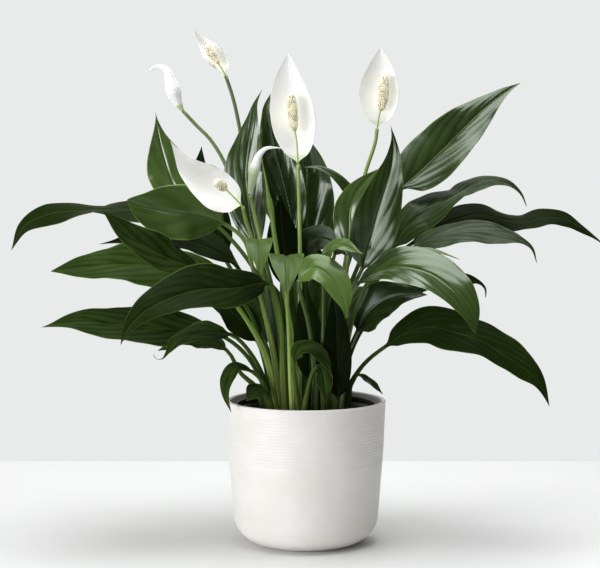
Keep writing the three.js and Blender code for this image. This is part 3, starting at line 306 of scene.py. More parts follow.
# Leaves that share one sheath at the soil and so are one piece of the plant.
SHOOTS = {
    "shoot_over_left_rim": (
        leaf("shoot_over_left_rim", 3, 18, SHOOT_LOOK,
             ((-33, -28), (-37, -29, 150), (-44, -31, 167), (-53, -34, 176), (-62, -38, 180),
              (-69, -42, 181), (-76, -46, 170), (-78, -50, 156), (-73, -53, 138)),
             ((0, -0.5, 0.9), (-0.4, -0.6, 0.7), (-0.9, -0.5, 0)), wave=0.6),
        leaf("shoot_over_left_rim", 3, 23, SHOOT_LOOK,
             ((-32, -29), (-35, -31, 145), (-37, -33, 155), (-41, -35, 159), (-48, -39, 157),
              (-58, -46, 149)),
             ((-0.2, -0.7, 0.7),), wave=0.8),
    ),
    "shoot_front": (
        leaf("shoot_front", 3, 20, SHOOT_LOOK,
             ((-5, -36), (-9, -39, 155), (-12, -42, 178), (-12, -43, 188), (-5, -46, 200),
              (6, -49, 200), (18, -52, 188), (26, -56, 173)),
             ((0.2, -0.6, 0.8), (0.6, -0.7, 0.5)), wave=1),
        leaf("shoot_front", 3, 17, SHOOT_LOOK,
             ((-4, -36), (0, -40, 150), (5, -42, 172), (10, -43, 182), (15, -44, 180),
              (18, -47, 166), (19, -51, 147)),
             ((-0.3, -0.6, 0.7), (0.5, -0.8, 0.3)), wave=0.8),
    ),
    "shoot_back_low": (
        leaf("shoot_back_low", 2, 46, SHOOT_LOOK,
             ((0, 40), (0, 42, 150), (-2, 47, 195), (-4, 66, 245), (-6, 98, 266), (-10, 140, 240)),
             ((0, -1, 0.1), (0, -0.3, 1), (0, 0.4, 0.9)), phase=1),
        leaf("shoot_back_low", 2, 44, SHOOT_LOOK,
             ((2, 39), (10, 42, 150), (22, 49, 190), (36, 68, 232), (52, 100, 250),
              (70, 142, 226)),
             ((0.2, -1, 0.1), (0, -0.3, 1), (0.2, 0.4, 0.9)), phase=2),
        leaf("shoot_back_low", 2, 44, SHOOT_LOOK,
             ((-2, 39), (-12, 43, 150), (-26, 52, 190), (-42, 74, 232), (-56, 106, 252),
              (-70, 146, 236)),
             ((-0.2, -1, 0.1), (0, -0.3, 1), (-0.2, 0.4, 0.9)), phase=3),
    ),
    "shoot_back_tall": (
        leaf("shoot_back_tall", 2, 40, SHOOT_LOOK,
             ((-4, 26), (-8, 44, 230), (-18, 66, 285), (-38, 96, 330), (-60, 120, 346)),
             ((0, 0.5, 0.8), (-0.4, 0.3, 0.85)), phase=1),
        leaf("shoot_back_tall", 2, 40, SHOOT_LOOK,
             ((0, 26), (14, 46, 225), (30, 74, 285), (42, 100, 320), (50, 126, 334)),
             ((0.3, 0.5, 0.8), (0.4, 0.4, 0.8)), phase=2),
        leaf("shoot_back_tall", 2, 44, SHOOT_LOOK,
             ((-2, 27), (-1, 40, 225), (0, 66, 278), (2, 112, 306), (4, 164, 294)),
             ((0, 0.4, 0.9), (0, 0.6, 0.8)), phase=3),
    ),
}

# shade is how dark a flower's stalk is painted above the crown, as painted shade.
FLOWERS = (
    {
        "name": "flower_centre",
        "scape": ((-6, -17), (-6, -16, 200), (-6, -14, 290), (-8, -11, 379)),
        "spathe": ((-9, -4, 395), (-13, 1, 425), (-17, 2, 455), (-18, -1, 489)),
        "facing": (0, -1, 0.05), "width": 44, "taper": 0.95, "cup": 0.35,
        "spadix": ((-9, -12, 400), (-12, -11, 418), (-15, -10, 448)),
        "stipe": 0.5, "radius": 5, "shade": 0,
    },
    {
        "name": "flower_right",
        "scape": ((12, 6), (15, 6, 190), (34, 6, 254), (46, 6, 319), (60, 6, 373),
                  (69, 6, 401), (71, 6, 415)),
        "spathe": ((72, 12, 428), (73, 16, 452), (74, 14, 475), (74, 8, 495)),
        "facing": (0, -1, 0.05), "width": 40, "taper": 0.95, "cup": 0.4,
        "spadix": ((73, 4.5, 428), (76, 5, 440), (78, 5, 468)),
        "stipe": 0.35, "radius": 5.2, "shade": 0.25,
    },
    {
        "name": "flower_front_left",
        "scape": ((-27, -1), (-30, -6, 200), (-40, -17, 262), (-53, -27, 306),
                  (-58, -30, 321), (-62, -34, 338)),
        "spathe": ((-74, -33, 344), (-94, -36, 355), (-114, -44, 373), (-131, -52, 402)),
        "facing": (0.3, -0.85, 0.4), "width": 44, "taper": 1.5, "cup": 0.3,
        "spadix": ((-71, -41, 348), (-79, -48, 356), (-86, -71, 362)),
        "stipe": 0.5, "radius": 4.8, "shade": 0.35,
    },
    {
        "name": "flower_high_left",
        "scape": ((-14, 22), (-28, 30, 210), (-51, 38, 313), (-62, 43, 375), (-68, 46, 418),
                  (-75, 48, 449), (-82, 50, 470)),
        "spathe": ((-90, 55, 483), (-101, 57, 497), (-108, 56, 507), (-115, 52, 517)),
        "facing": (0.5, -0.8, -0.2), "width": 22, "taper": 1.2, "cup": 0.5,
        "spadix": ((-87, 48, 479), (-92, 48, 486), (-102, 47, 500)),
        "stipe": 0.4, "radius": 3.6, "shade": 0.75,
    },
)

# Buds swell up to full_at of their length, and are green over the share green.
# shade is how dark their stalk is painted above the crown, as painted shade.
BUDS = (
    {
        "name": "bud_left",
        "scape": ((-20, 24), (-34, 36, 215), (-65, 48, 328), (-84, 54, 382), (-99, 57, 406),
                  (-112, 59, 419), (-127, 60, 435)),
        "bud": ((-134, 60, 448), (-139, 60, 464), (-143, 60, 476), (-152, 60, 480),
                (-165, 60, 474)),
        "radius": 8, "full_at": 0.35, "green": 0.12, "shade": 0.6,
    },
    {
        "name": "bud_centre_left",
        "scape": ((-14, 0), (-17, 1, 190), (-32, 3, 250), (-46, 4, 306), (-53, 5, 335),
                  (-56, 5, 349)),
        "bud": ((-54, 5, 362), (-51, 5, 376), (-47, 5, 388), (-40, 5, 395), (-30, 5, 396),
                (-21, 5, 395)),
        "radius": 5.2, "full_at": 0.4, "green": 0.5, "shade": 0.1,
    },
)

# The newest leaf, still rolled into a spear.
SPEAR = {
    "name": "leaf_spear",
    "scape": ((-8, -6), (-13, -6, 200), (-25, -5, 270), (-32, -4, 312), (-34, -4, 329),
              (-37, -4, 345), (-40, -4, 364), (-44, -4, 384)),
}


YOUNG_LEAVES = ("leaf_front_arching", "leaf_front_forward", "leaf_front_forward_left")

FRONT = (0, -1, 0.01)
END = np.array([1.0])
STEM_FOOT = 112.35  # the bottom of a stem's hole in the soil
STEM_COLLAR = 126  # below this height a stem is upright
CURVE_STEPS = 64  # points of a route's curve between two of its route points


# ---------------------------------------------------------------- curves

class Route:
    """A smooth centripetal curve through points, read by its share of the length."""

    def __init__(self, points):
        knots = np.array(points, float)
        ends = np.vstack([2 * knots[0] - knots[1], knots, 2 * knots[-1] - knots[-2]])
        t = np.linspace(0, 1, CURVE_STEPS, endpoint=False)[:, None]
        pieces = []
        for p0, p1, p2, p3 in zip(ends, ends[1:], ends[2:], ends[3:]):
            d0, d1, d2 = (np.linalg.norm(b - a) ** 0.5
                          for a, b in ((p0, p1), (p1, p2), (p2, p3)))
            m1 = ((p1 - p0) / d0 - (p2 - p0) / (d0 + d1) + (p2 - p1) / d1) * d1
            m2 = ((p2 - p1) / d1 - (p3 - p1) / (d1 + d2) + (p3 - p2) / d2) * d1
            pieces.append(p1 + m1 * t + (3 * (p2 - p1) - 2 * m1 - m2) * t ** 2
                          + (2 * (p1 - p2) + m1 + m2) * t ** 3)
        self.points = np.vstack([*pieces, knots[-1:]])
        steps = np.linalg.norm(np.diff(self.points, axis=0), axis=1)
        lengths = np.concatenate([[0], np.cumsum(steps)])
        self.length = lengths[-1]
        self.share = lengths / self.length

    def share_of(self, knot):
        """The share of the length at a route point."""
        return self.share[knot * CURVE_STEPS]

    def at(self, u):
        return np.stack([np.interp(u, self.share, self.points[:, k]) for k in range(3)], -1)

    def along(self, u):
        step = 0.004
        ahead = self.at(np.minimum(u + step, 1)) - self.at(np.maximum(u - step, 0))
        return ahead / np.linalg.norm(ahead, axis=-1, keepdims=True)


class Frames:
    """Local axes at each station of a route: along it, out of its face, across it."""

    def __init__(self, route, u, facing):
        self.origin = route.at(u)
        self.along = route.along(u)
        facing = np.array(facing, float)
        normal = facing - self.along * np.sum(facing * self.along, -1, keepdims=True)
        self.normal = normal / np.linalg.norm(normal, axis=-1, keepdims=True)
        self.across = np.cross(self.along, self.normal)

    def place(self, side, height):
        """Points at a distance across and out of the face, one ring for each station."""
        return (self.origin[:, None] + self.across[:, None] * side[..., None]
                + self.normal[:, None] * height[..., None])


def stem_route(points):
    """The route of a stem from its collar, above its place in the soil."""
    return Route([(*points[0], STEM_COLLAR), *points[1:]])


def facing_at(directions, v):
    """The way a blade faces at each v, read off a short list of directions."""
    knots = np.linspace(0, 1, len(directions)) if len(directions) > 1 else [0.0]
    table = np.array(directions, float)
    return np.stack([np.interp(np.clip(v, 0, 1), knots, table[:, k]) for k in range(3)], -1)


def smooth_step(low, high, x):
    t = np.clip((x - low) / (high - low), 0, 1)
    return t * t * (3 - 2 * t)


def outline(v, shoulder, taper):
    """Half width of a lance-shaped blade of width 2, v from its base to its tip."""
    widest = shoulder / (shoulder + taper)
    full = widest ** shoulder * (1 - widest) ** taper
    return v ** shoulder * (1 - v) ** taper / full


# ---------------------------------------------------------------- meshes

SKIN_WELD = 4e-6  # metres within which the points of a seam or of a pole are one
TURNED_WELD = 1e-5
TURNED_EDGE = math.radians(50)  # a turned shape is sharp from this angle up
OUTWARDS = (bpy.ops.mesh.normals_make_consistent, {"inside": False})


def select_only(obj):
    bpy.ops.object.select_all(action="DESELECT")
    obj.select_set(True)
    bpy.context.view_layer.objects.active = obj


def add_primitive(name, operator, **settings):
    """Adds a primitive with nothing else selected."""
    bpy.ops.object.select_all(action="DESELECT")
    operator(**settings)
    obj = bpy.context.object
    obj.name = obj.data.name = name
    return obj


def edit_mesh(obj, *steps):
    """Runs mesh operators with their settings on all of a piece, and turns it outwards."""
    select_only(obj)
    bpy.ops.object.mode_set(mode="EDIT")
    for operator, settings in (*steps, OUTWARDS):
        bpy.ops.mesh.select_all(action="SELECT")
        operator(**settings)
    bpy.ops.object.mode_set(mode="OBJECT")


def skin(name, rings, attributes):
    """A closed skin over a stack of rings, in millimetres, from a grid.

    The first and last point of a ring are the same point. The grid's ends are closed
    to a point. attributes are values for each point, read by the materials."""
    stations, around = rings.shape[:2]
    caps = [np.repeat(rings[end].mean(0)[None, None], around, 1) for end in (0, -1)]
    layers = np.concatenate([caps[0], rings, caps[1]])
    obj = add_primitive(name, bpy.ops.mesh.primitive_grid_add, x_subdivisions=around - 1,
                        y_subdivisions=stations + 1, size=1, calc_uvs=True)
    obj.data.vertices.foreach_set("co", (layers.reshape(-1) * MM).astype(np.float32))
    for key, values in attributes.items():
        full = np.broadcast_to(values, (stations, around))
        full = np.concatenate([full[:1], full, full[-1:]])
        layer = obj.data.attributes.new(key, "FLOAT", "POINT")
        layer.data.foreach_set("value", full.reshape(-1).astype(np.float32))
    obj.data.update()
    edit_mesh(obj, (bpy.ops.mesh.remove_doubles, {"threshold": SKIN_WELD}),
              (bpy.ops.mesh.dissolve_degenerate, {"threshold": SKIN_WELD / 4}))
    bpy.ops.object.shade_smooth()
    return obj


def join(name, objects):
    """Joins the pieces of one plant part into one mesh."""
    select_only(objects[0])
    for obj in objects[1:]:
        obj.select_set(True)
    if len(objects) > 1:
        bpy.ops.object.join()
    objects[0].name = objects[0].data.name = name
    return objects[0]


def turned(name, profile, steps):
    """A shape turned on the upright axis from a profile of radius and height in mm."""
    obj = add_primitive(name, bpy.ops.mesh.primitive_plane_add, size=1)
    shape = bmesh.new()
    verts = [shape.verts.new((r * MM, 0, z * MM)) for r, z in profile]
    for a, b in zip(verts, verts[1:]):
        shape.edges.new((a, b))
    shape.to_mesh(obj.data)
    shape.free()
    turn = {"steps": steps, "angle": TAU, "center": (0, 0, 0), "axis": (0, 0, 1)}
    edit_mesh(obj, (bpy.ops.mesh.spin, turn),
              (bpy.ops.mesh.remove_doubles, {"threshold": TURNED_WELD}))
    bpy.ops.object.shade_smooth_by_angle(angle=TURNED_EDGE)
    return obj


def hand_over(obj, material, slot, *nodes):
    """Gives a piece its material and its place in the frame."""
    obj.data.materials.clear()
    obj.data.materials.append(material)
    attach(obj, "root")
    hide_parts(*nodes)


# ---------------------------------------------------------------- materials

COLOURS = {"out": 2, "data_type": "RGBA"}  # a Mix node that mixes its inputs 6 and 7
SMOOTH = {"interpolation_type": "SMOOTHSTEP"}


def add_node(tree, kind, inputs=(), out=0, **settings):
    """Adds a node with its settings and its inputs, and returns one of its outputs.

    An input is another node's output or a value, by its name or number or in order."""
    node = tree.nodes.new("ShaderNode" + kind)
    for key, value in settings.items():
        setattr(node, key, value)
    for key, value in inputs.items() if isinstance(inputs, dict) else enumerate(inputs):
        if isinstance(value, bpy.types.NodeSocket):
            tree.links.new(value, node.inputs[key])
        else:
            node.inputs[key].default_value = value
    return node.outputs[out] if node.outputs else None


def new_material(name):
    """An empty material, and the function that adds a node to its tree."""
    material = bpy.data.materials.get(name) or bpy.data.materials.new(name)
    material.use_nodes = True
    material.node_tree.nodes.clear()
    return material, functools.partial(add_node, material.node_tree)


def lumps(size_mm):
    """The scale of a noise whose lumps are about size_mm across on the object."""
    return 1 / (size_mm * MM)


# A leaf's finish: its specular level, its roughness and its coat of wax.
LEAF_FINISHES = {"dull": (0.03, 0.46, 0.0), "soft": (0.25, 0.38, 0.0),
                 "satin": (0.5, 0.3, 0.0), "glossy": (0.8, 0.22, 0.0),
                 "waxed": (1.0, 0.2, 0.5)}


def leaf_material(finish):
    """Fresh peace lily leaf: smooth, grown under a thin wax, dark green.

    The wax gives wide soft highlights that break into stripes between the sunk side
    veins. Its colour is painted darker in the veins and paler between them, as painted
    shade and sheen, and a tone below 0 darkens it as painted shade of the crown. The
    margin is a pale line, the under side is duller, and the stalk is streaked and pales
    towards its foot; a dark stalk is partly its own green and partly painted shade."""
    plant = bpy.context.scene.lily_plant
    specular, rough, coat = LEAF_FINISHES[finish]
    material, add = new_material("peace_lily_leaf_" + finish)
    where = add("TexCoord", out="Object")
    along, across, face, vein, rib, tone, pale = (
        add("Attribute", out="Fac", attribute_name=name)
        for name in ("along", "across", "upper", "vein", "rib", "tone", "stalk"))

    ridge = add("Math", (vein, math.pi), operation="MULTIPLY")
    ridge = add("Math", (add("Math", (ridge,), operation="SINE"),), operation="ABSOLUTE")
    blotch = add("TexNoise", {"Vector": where, "Scale": lumps(18)})
    blotch = add("Math", (blotch, 0.2, -0.1), operation="MULTIPLY_ADD")
    youth = add("Math", (tone, blotch), operation="ADD")
    # Painted shade and sheen: the blade is darker in its vein grooves and paler between them.
    ridge = add("Math", (ridge, 0.14, -0.1), operation="MULTIPLY_ADD")
    youth = add("Math", (youth, ridge), operation="ADD")
    upper = add("Mix", {0: youth, 6: plant.leaf_dark, 7: plant.leaf_light}, **COLOURS)
    midrib = add("MapRange", (rib, 0.9, 0.35), **SMOOTH)
    faint = add("Math", (midrib, 0.07), operation="MULTIPLY")
    upper = add("Mix", {0: faint, 6: upper, 7: plant.stalk}, **COLOURS)
    edge = add("Math", (across,), operation="ABSOLUTE")
    edge = add("MapRange", (edge, 0.93, 0.99), **SMOOTH)
    margin = add("Math", (tone, 0.7, 0.22), operation="MULTIPLY_ADD")
    margin = add("Math", (edge, margin), operation="MULTIPLY")
    upper = add("Mix", {0: margin, 6: upper, 7: plant.stalk}, **COLOURS)
    # Painted shade: a tone below 0 darkens the blade towards near black, for leaves in the crown.
    shade = add("Math", (tone, -1.0), operation="MULTIPLY")
    upper = add("Mix", {0: shade, 6: upper, 7: linear("#060804")}, **COLOURS)
    under = add("Mix", {0: midrib, 6: plant.leaf_back, 7: plant.stalk}, **COLOURS)
    face = add("MapRange", (face, 0.3, 0.7), **SMOOTH)
    blade = add("Mix", {0: face, 6: under, 7: upper}, **COLOURS)

    foot = add("MapRange", (along, -0.95, -0.35), **SMOOTH)
    lit = add("Mix", {0: foot, 6: plant.sheath, 7: plant.stalk}, **COLOURS)
    # A low stalk value paints the stalk dark green: partly its own colour, partly painted shade of
    # the crown.
    stalk = add("Mix", {0: pale, 6: linear("#1d2b10"), 7: lit}, **COLOURS)
    drawn_out = add("Mapping", {"Vector": where, "Scale": (1, 1, 0.06)})
    streak = add("TexNoise", {"Vector": drawn_out, "Scale": lumps(1.2)})
    streak = add("Math", (streak, 0.35), operation="MULTIPLY")
    stalk = add("Mix", {0: streak, 6: stalk, 7: plant.leaf_light}, **COLOURS)
    opened = add("MapRange", (along, -0.05, 0.03), **SMOOTH)
    colour = add("Mix", {0: opened, 6: stalk, 7: blade}, **COLOURS)

    uneven = add("TexNoise", {"Vector": where, "Scale": lumps(9)})
    uneven = add("Math", (uneven, 0.08, rough - 0.04), operation="MULTIPLY_ADD")
    duller = add("MapRange", (face, 0, 1, 0.15, 0), **SMOOTH)
    grain = add("TexNoise", {"Vector": where, "Scale": lumps(2)})
    add("OutputMaterial", (add("BsdfPrincipled", {
        "Base Color": colour, "Roughness": add("Math", (uneven, duller), operation="ADD"),
        "Normal": add("Bump", {"Height": grain, "Distance": 0.012 * MM}),
        "IOR": 1.45, "Specular IOR Level": specular, "Specular Tint": linear("#f2fff0"),
        "Coat Weight": coat, "Coat Roughness": 0.13}),))
    return material


def scape_material():
    """Flower stalk: fresh, smooth and firm, grown with fine ribs along its length.

    It is pale green. Most stalks are painted dark below the crown, and darker by their flower's
    shade share above it, as painted shade."""
    plant = bpy.context.scene.lily_plant
    material, add = new_material("peace_lily_stalk_fresh")
    drawn_out = add("Mapping", {"Vector": add("TexCoord", out="Object"),
                                "Scale": (1, 1, 0.04)})
    streak = add("TexNoise", {"Vector": drawn_out, "Scale": lumps(0.9), "Detail": 3.0})
    share = add("MapRange", (streak, 0.35, 0.7), **SMOOTH)
    colour = add("Mix", {0: share, 6: plant.scape, 7: plant.stalk}, **COLOURS)
    # Painted shade: the stalk is darkened towards dark green by its shade.
    shade = add("Attribute", out="Fac", attribute_name="shade")
    colour = add("Mix", {0: shade, 6: colour, 7: linear("#2a381b")}, **COLOURS)
    add("OutputMaterial", (add("BsdfPrincipled", {
        "Base Color": colour, "Roughness": 0.42,
        "Normal": add("Bump", {"Height": streak, "Distance": 0.12 * MM})}),))
    return material


SPATHE_PAINTED_GLOW = 0.16  # a painted glow: the share of the spathe's white that it gives off as light


def spathe_material():
    """White spathe: a soft leaf like a petal, grown thin, green at its foot and midrib.

    It is given a painted glow, so that it keeps white in its own shade."""
    plant = bpy.context.scene.lily_plant
    material, add = new_material("peace_lily_spathe_soft")
    along, reach, vein, rib, tone = (
        add("Attribute", out="Fac", attribute_name=name)
        for name in ("along", "reach", "vein", "rib", "tone"))
    midrib = add("MapRange", (rib, 1.0, 0.2), **SMOOTH)
    fading = add("MapRange", (along, 0.7, 0.1, 0, 0.4), **SMOOTH)
    midrib = add("Math", (midrib, fading), operation="MULTIPLY")
    foot = add("Math", (along, reach), operation="DIVIDE")
    foot = add("MapRange", (foot, 1.0, 0.5), **SMOOTH)
    tint = add("Math", (foot, midrib), operation="MAXIMUM")
    tint = add("Math", (tint, tone), operation="MULTIPLY")
    ridge = add("Math", (vein, math.pi), operation="MULTIPLY")
    ridge = add("Math", (add("Math", (ridge,), operation="SINE"),), operation="ABSOLUTE")
    uneven = add("TexNoise", {"Vector": add("TexCoord", out="Object"), "Scale": lumps(4)})
    add("OutputMaterial", (add("BsdfPrincipled", {
        "Base Color": add("Mix", {0: tint, 6: plant.spathe, 7: plant.scape}, **COLOURS),
        "Roughness": add("Math", (uneven, 0.15, 0.43), operation="MULTIPLY_ADD"),
        "Normal": add("Bump", {"Height": ridge, "Distance": 0.012 * MM}),
        # Painted glow: the spathe gives off its own white as light.
        "Specular IOR Level": 0.2, "Emission Color": plant.spathe,
        "Emission Strength": SPATHE_PAINTED_GLOW}),))
    return material


FLORET_PAINTED_GLOW = 0.15  # a painted glow that lightens the florets and the shade between them


def spadix_material():
    """Spadix: small fleshy cream florets, grown in rows, and a green stipe.

    Each floret has a darker stigma at its middle, brown where it is ripe. The column has a faint
    painted glow that lightens the shade between its florets."""
    plant = bpy.context.scene.lily_plant
    material, add = new_material("peace_lily_spadix_florets")
    where = add("TexCoord", out="Object")
    stigma, green = (add("Attribute", out="Fac", attribute_name=name)
                     for name in ("stigma", "green"))
    cloud = add("TexNoise", {"Vector": where, "Scale": lumps(3)})
    base = add("Mix", {0: cloud, 6: plant.spadix, 7: linear("#f6f0d2")}, **COLOURS)
    ripe = add("TexNoise", {"Vector": where, "Scale": lumps(3.6), "Detail": 0.0})
    ripe = add("MapRange", (ripe, 0.5, 0.6), **SMOOTH)
    dark = add("Mix", {0: ripe, 6: linear("#ece6c6"), 7: linear("#4b3d26")}, **COLOURS)
    stigma = add("MapRange", (stigma, 0.3, 0.65), **SMOOTH)
    colour = add("Mix", {0: stigma, 6: base, 7: dark}, **COLOURS)
    colour = add("Mix", {0: green, 6: colour, 7: plant.scape}, **COLOURS)
    grain = add("TexNoise", {"Vector": where, "Scale": lumps(0.35)})
    add("OutputMaterial", (add("BsdfPrincipled", {
        "Base Color": colour, "Roughness": 0.6,
        "Normal": add("Bump", {"Height": grain, "Distance": 0.02 * MM}),
        # Painted glow: the florets give off their own colour as light.
        "Emission Color": colour, "Emission Strength": FLORET_PAINTED_GLOW}),))
    return material


def glaze_material():
    """Stoneware, glazed and fired: a satin off-white with a soft even sheen.

    Close up it has faint warm clouds, a few pale brown specks and a slight orange
    peel in its highlights."""
    pot = bpy.context.scene.lily_pot
    material, add = new_material("stoneware_satin_glaze")
    where = add("TexCoord", out="Object")
    cloud = add("TexNoise", {"Vector": where, "Scale": lumps(45)})
    cloud = add("MapRange", (cloud, 0.3, 0.75), **SMOOTH)
    warm = add("Mix", {0: cloud, 6: pot.glaze, 7: linear("#e9e6e1")}, **COLOURS)
    speck = add("TexNoise", {"Vector": where, "Scale": lumps(1.1), "Detail": 0.0})
    speck = add("MapRange", (speck, 0.76, 0.82), **SMOOTH)
    speck = add("Math", (speck, 0.25), operation="MULTIPLY")
    uneven = add("TexNoise", {"Vector": where, "Scale": lumps(9)})
    peel = add("TexNoise", {"Vector": where, "Scale": lumps(2.2), "Detail": 3.0})
    add("OutputMaterial", (add("BsdfPrincipled", {
        "Base Color": add("Mix", {0: speck, 6: warm, 7: linear("#cfc9c0")}, **COLOURS),
        "Roughness": add("Math", (uneven, 0.12, 0.36), operation="MULTIPLY_ADD"),
        "Normal": add("Bump", {"Height": peel, "Distance": 0.03 * MM}), "IOR": 1.5}),))
    return material


def plastic_material():
    """Polypropylene: thin black plastic, blow moulded, with a dull sheen and soil dust."""
    pot = bpy.context.scene.lily_pot
    material, add = new_material("polypropylene_black_moulded")
    where = add("TexCoord", out="Object")
    dust = add("TexNoise", {"Vector": where, "Scale": lumps(2.5), "Detail": 4.0})
    dust = add("MapRange", (dust, 0.55, 0.8), **SMOOTH)
    thin = add("Math", (dust, 0.25), operation="MULTIPLY")
    grain = add("TexNoise", {"Vector": where, "Scale": lumps(0.6)})
    add("OutputMaterial", (add("BsdfPrincipled", {
        "Base Color": add("Mix", {0: thin, 6: pot.plastic, 7: linear("#4a463e")}, **COLOURS),
        "Roughness": add("Math", (dust, 0.3, 0.38), operation="MULTIPLY_ADD"),
        "Normal": add("Bump", {"Height": grain, "Distance": 0.03 * MM}), "IOR": 1.49}),))
    return material


def soil_material():
    """Potting mix: damp crumbs of peat and bark, near black, with brown fibres."""
    pot = bpy.context.scene.lily_pot
    material, add = new_material("potting_mix_damp")
    where = add("TexCoord", out="Object")
    crumb = add("TexNoise", {"Vector": where, "Scale": lumps(2.4), "Detail": 5.0})
    drawn_out = add("Mapping", {"Vector": where, "Scale": (1, 0.2, 1)})
    fibre = add("TexNoise", {"Vector": drawn_out, "Scale": lumps(1.2), "Detail": 3.0})
    fibre = add("MapRange", (fibre, 0.6, 0.72), **SMOOTH)
    fibre = add("Math", (fibre, 0.5), operation="MULTIPLY")
    dry = add("MapRange", (crumb, 0.35, 0.7), **SMOOTH)
    earth = add("Mix", {0: dry, 6: pot.soil, 7: linear("#3a2c1e")}, **COLOURS)
    add("OutputMaterial", (add("BsdfPrincipled", {
        "Base Color": add("Mix", {0: fibre, 6: earth, 7: linear("#6b5438")}, **COLOURS),
        "Roughness": 0.88,
        "Normal": add("Bump", {"Height": crumb, "Distance": 0.9 * MM})}),))
    return material


def board_material(pale):
    """Painted board: matt, pale and even, with a very faint cloud."""
    material, add = new_material("painted_board_matt")
    cloud = add("TexNoise", {"Vector": add("TexCoord", out="Object"), "Scale": lumps(160),
                             "Detail": 3.0})
    cloud = add("MapRange", (cloud, 0.5, 0.8), **SMOOTH)
    cloud = add("Math", (cloud, 0.2), operation="MULTIPLY")
    darker = (*(0.9 * c for c in pale[:3]), 1.0)
    colour = add("Mix", {0: cloud, 6: pale, 7: darker}, **COLOURS)
    add("OutputMaterial", (add("BsdfPrincipled", {"Base Color": colour, "Roughness": 0.75}),))
    return material


def screen_material(pale):
    """Cloth screen lit from behind: an even pale grey with no shadow on it."""
    material, add = new_material("backlit_cloth_screen")
    add("OutputMaterial", (add("BsdfPrincipled", {
        "Base Color": (0, 0, 0, 1), "Roughness": 1.0, "Specular IOR Level": 0.0,
        "Emission Color": pale, "Emission Strength": 1.0}),))
    return material


# ---------------------------------------------------------------- leaves

# Lengths in millimetres. Shares are of the leaf stalk, the blade or its half width.
BLADE_COLUMNS = 57  # points across one face of a blade
STATION_PITCH = 1.9  # between the rings of a blade
STALK_PITCH = 7.0  # and of a leaf stalk
PETIOLE_FOOT_RADIUS = 2.7
PETIOLE_TOP_RADIUS = 1.9
SHEATH_SHARE = 0.6  # of the stalk
SHEATH_SPREAD = 0.7  # to each side
GROOVE_WIDTH = 0.16  # in the upper side of the stalk
GROOVE_DEPTH = 0.7
GROOVE_AT_TOP = 0.25  # how deep it stays above the sheath
BLADE_OPENS = 0.07  # where the round stalk has turned into the flat blade
SLIM_TAPER = 1.3  # how fast the round middle of a narrow blade tapers
CURL = 0.12  # how the margins bend down
RUFFLE = 0.16  # the margin's short waves, as a share of its long ones
RUFFLE_TURNS = 3.3  # for one long wave
RUFFLE_SHIFT = 2.3
OTHER_SIDE = 2  # the shift of the waves from one margin to the other
CUSHION_FROM = 0.14  # the blade rises between its veins beside the flat midrib
CUSHION_EDGE = 2.5  # how late it flattens towards the margin
BROAD_HALF = 23  # the half width from which it is fully raised
CHANNEL_DEPTH = 0.4  # along the upper side of the midrib
CHANNEL_WIDTH = 1.1
CHANNEL_HALF = 6  # the half width from which the channel is full
KEEL_DEPTH = 1.7  # the midrib on the under side
KEEL_WIDTH = 1.3
KEEL_TAPER = 1.35
KEEL_AT_TIP = 0.25
MARGIN_THINNING = 0.55
VEIN_REACH = 0.7  # how far a side vein runs up the blade before it nears the margin
VEIN_SWEEP = 0.6  # how it bends towards the tip
VEIN_PITCH = 34  # between two side veins where they leave the midrib
VEIN_SOFTNESS = 0.06  # rounds the bottom of a vein
RING_SIDES = 24  # of a round stem


def blade_columns():
    """Across-values, face flags and angles of the points of one ring of a blade."""
    top = np.linspace(-1, 1, BLADE_COLUMNS)
    under = top[::-1][1:-1]
    q = np.concatenate([top, under, top[:1]])
    upper = np.concatenate([np.ones(top.size), np.zeros(under.size), [1]])
    angle = np.where(upper > 0, math.pi * (1 - q) / 2, -math.pi * (1 - q) / 2)
    return q[None], upper[None], angle[None]


def vein_phase(v, q, length):
    """Counts the side veins: whole numbers lie on a vein, sweeping towards the tip."""
    return (v + VEIN_REACH * np.log(1 - VEIN_SWEEP * np.abs(q))) * length / VEIN_PITCH


def sunk_veins(phase):
    """The height of the blade between its veins: low in a vein, 1 between two veins."""
    return np.sqrt(np.sin(math.pi * phase) ** 2 + VEIN_SOFTNESS)


def with_foot(rings):
    """Adds the ring at the bottom of a stem's hole to the rings above it."""
    foot = rings[:1].copy()
    foot[..., 2] = STEM_FOOT
    return np.concatenate([foot, rings])


def round_rings(frames, radius):
    angle = np.linspace(math.pi, -math.pi, RING_SIDES + 1)[None]
    return frames.place(np.cos(angle) * radius[:, None], np.sin(angle) * radius[:, None])


def stem(points, radius):
    """The frames of a round stem and its rings, level at the collar, with its foot."""
    frames = Frames(stem_route(points), np.linspace(0, 1, radius.size), FRONT)
    rings = round_rings(frames, radius)
    rings[0, :, 2] = STEM_COLLAR
    return frames, with_foot(rings)


def with_tip(rings, route):
    """Adds the tip of a blade to its rings."""
    return np.concatenate([rings, np.repeat(route.at(END)[:, None], rings.shape[1], 1)])


def spread(attributes, shape, first):
    """Attributes for each point, with those of the first and last ring used again."""
    rows = np.clip(np.arange(first, shape[0] + 1), 0, shape[0] - 1)
    return {key: np.broadcast_to(values, shape)[rows] for key, values in attributes.items()}


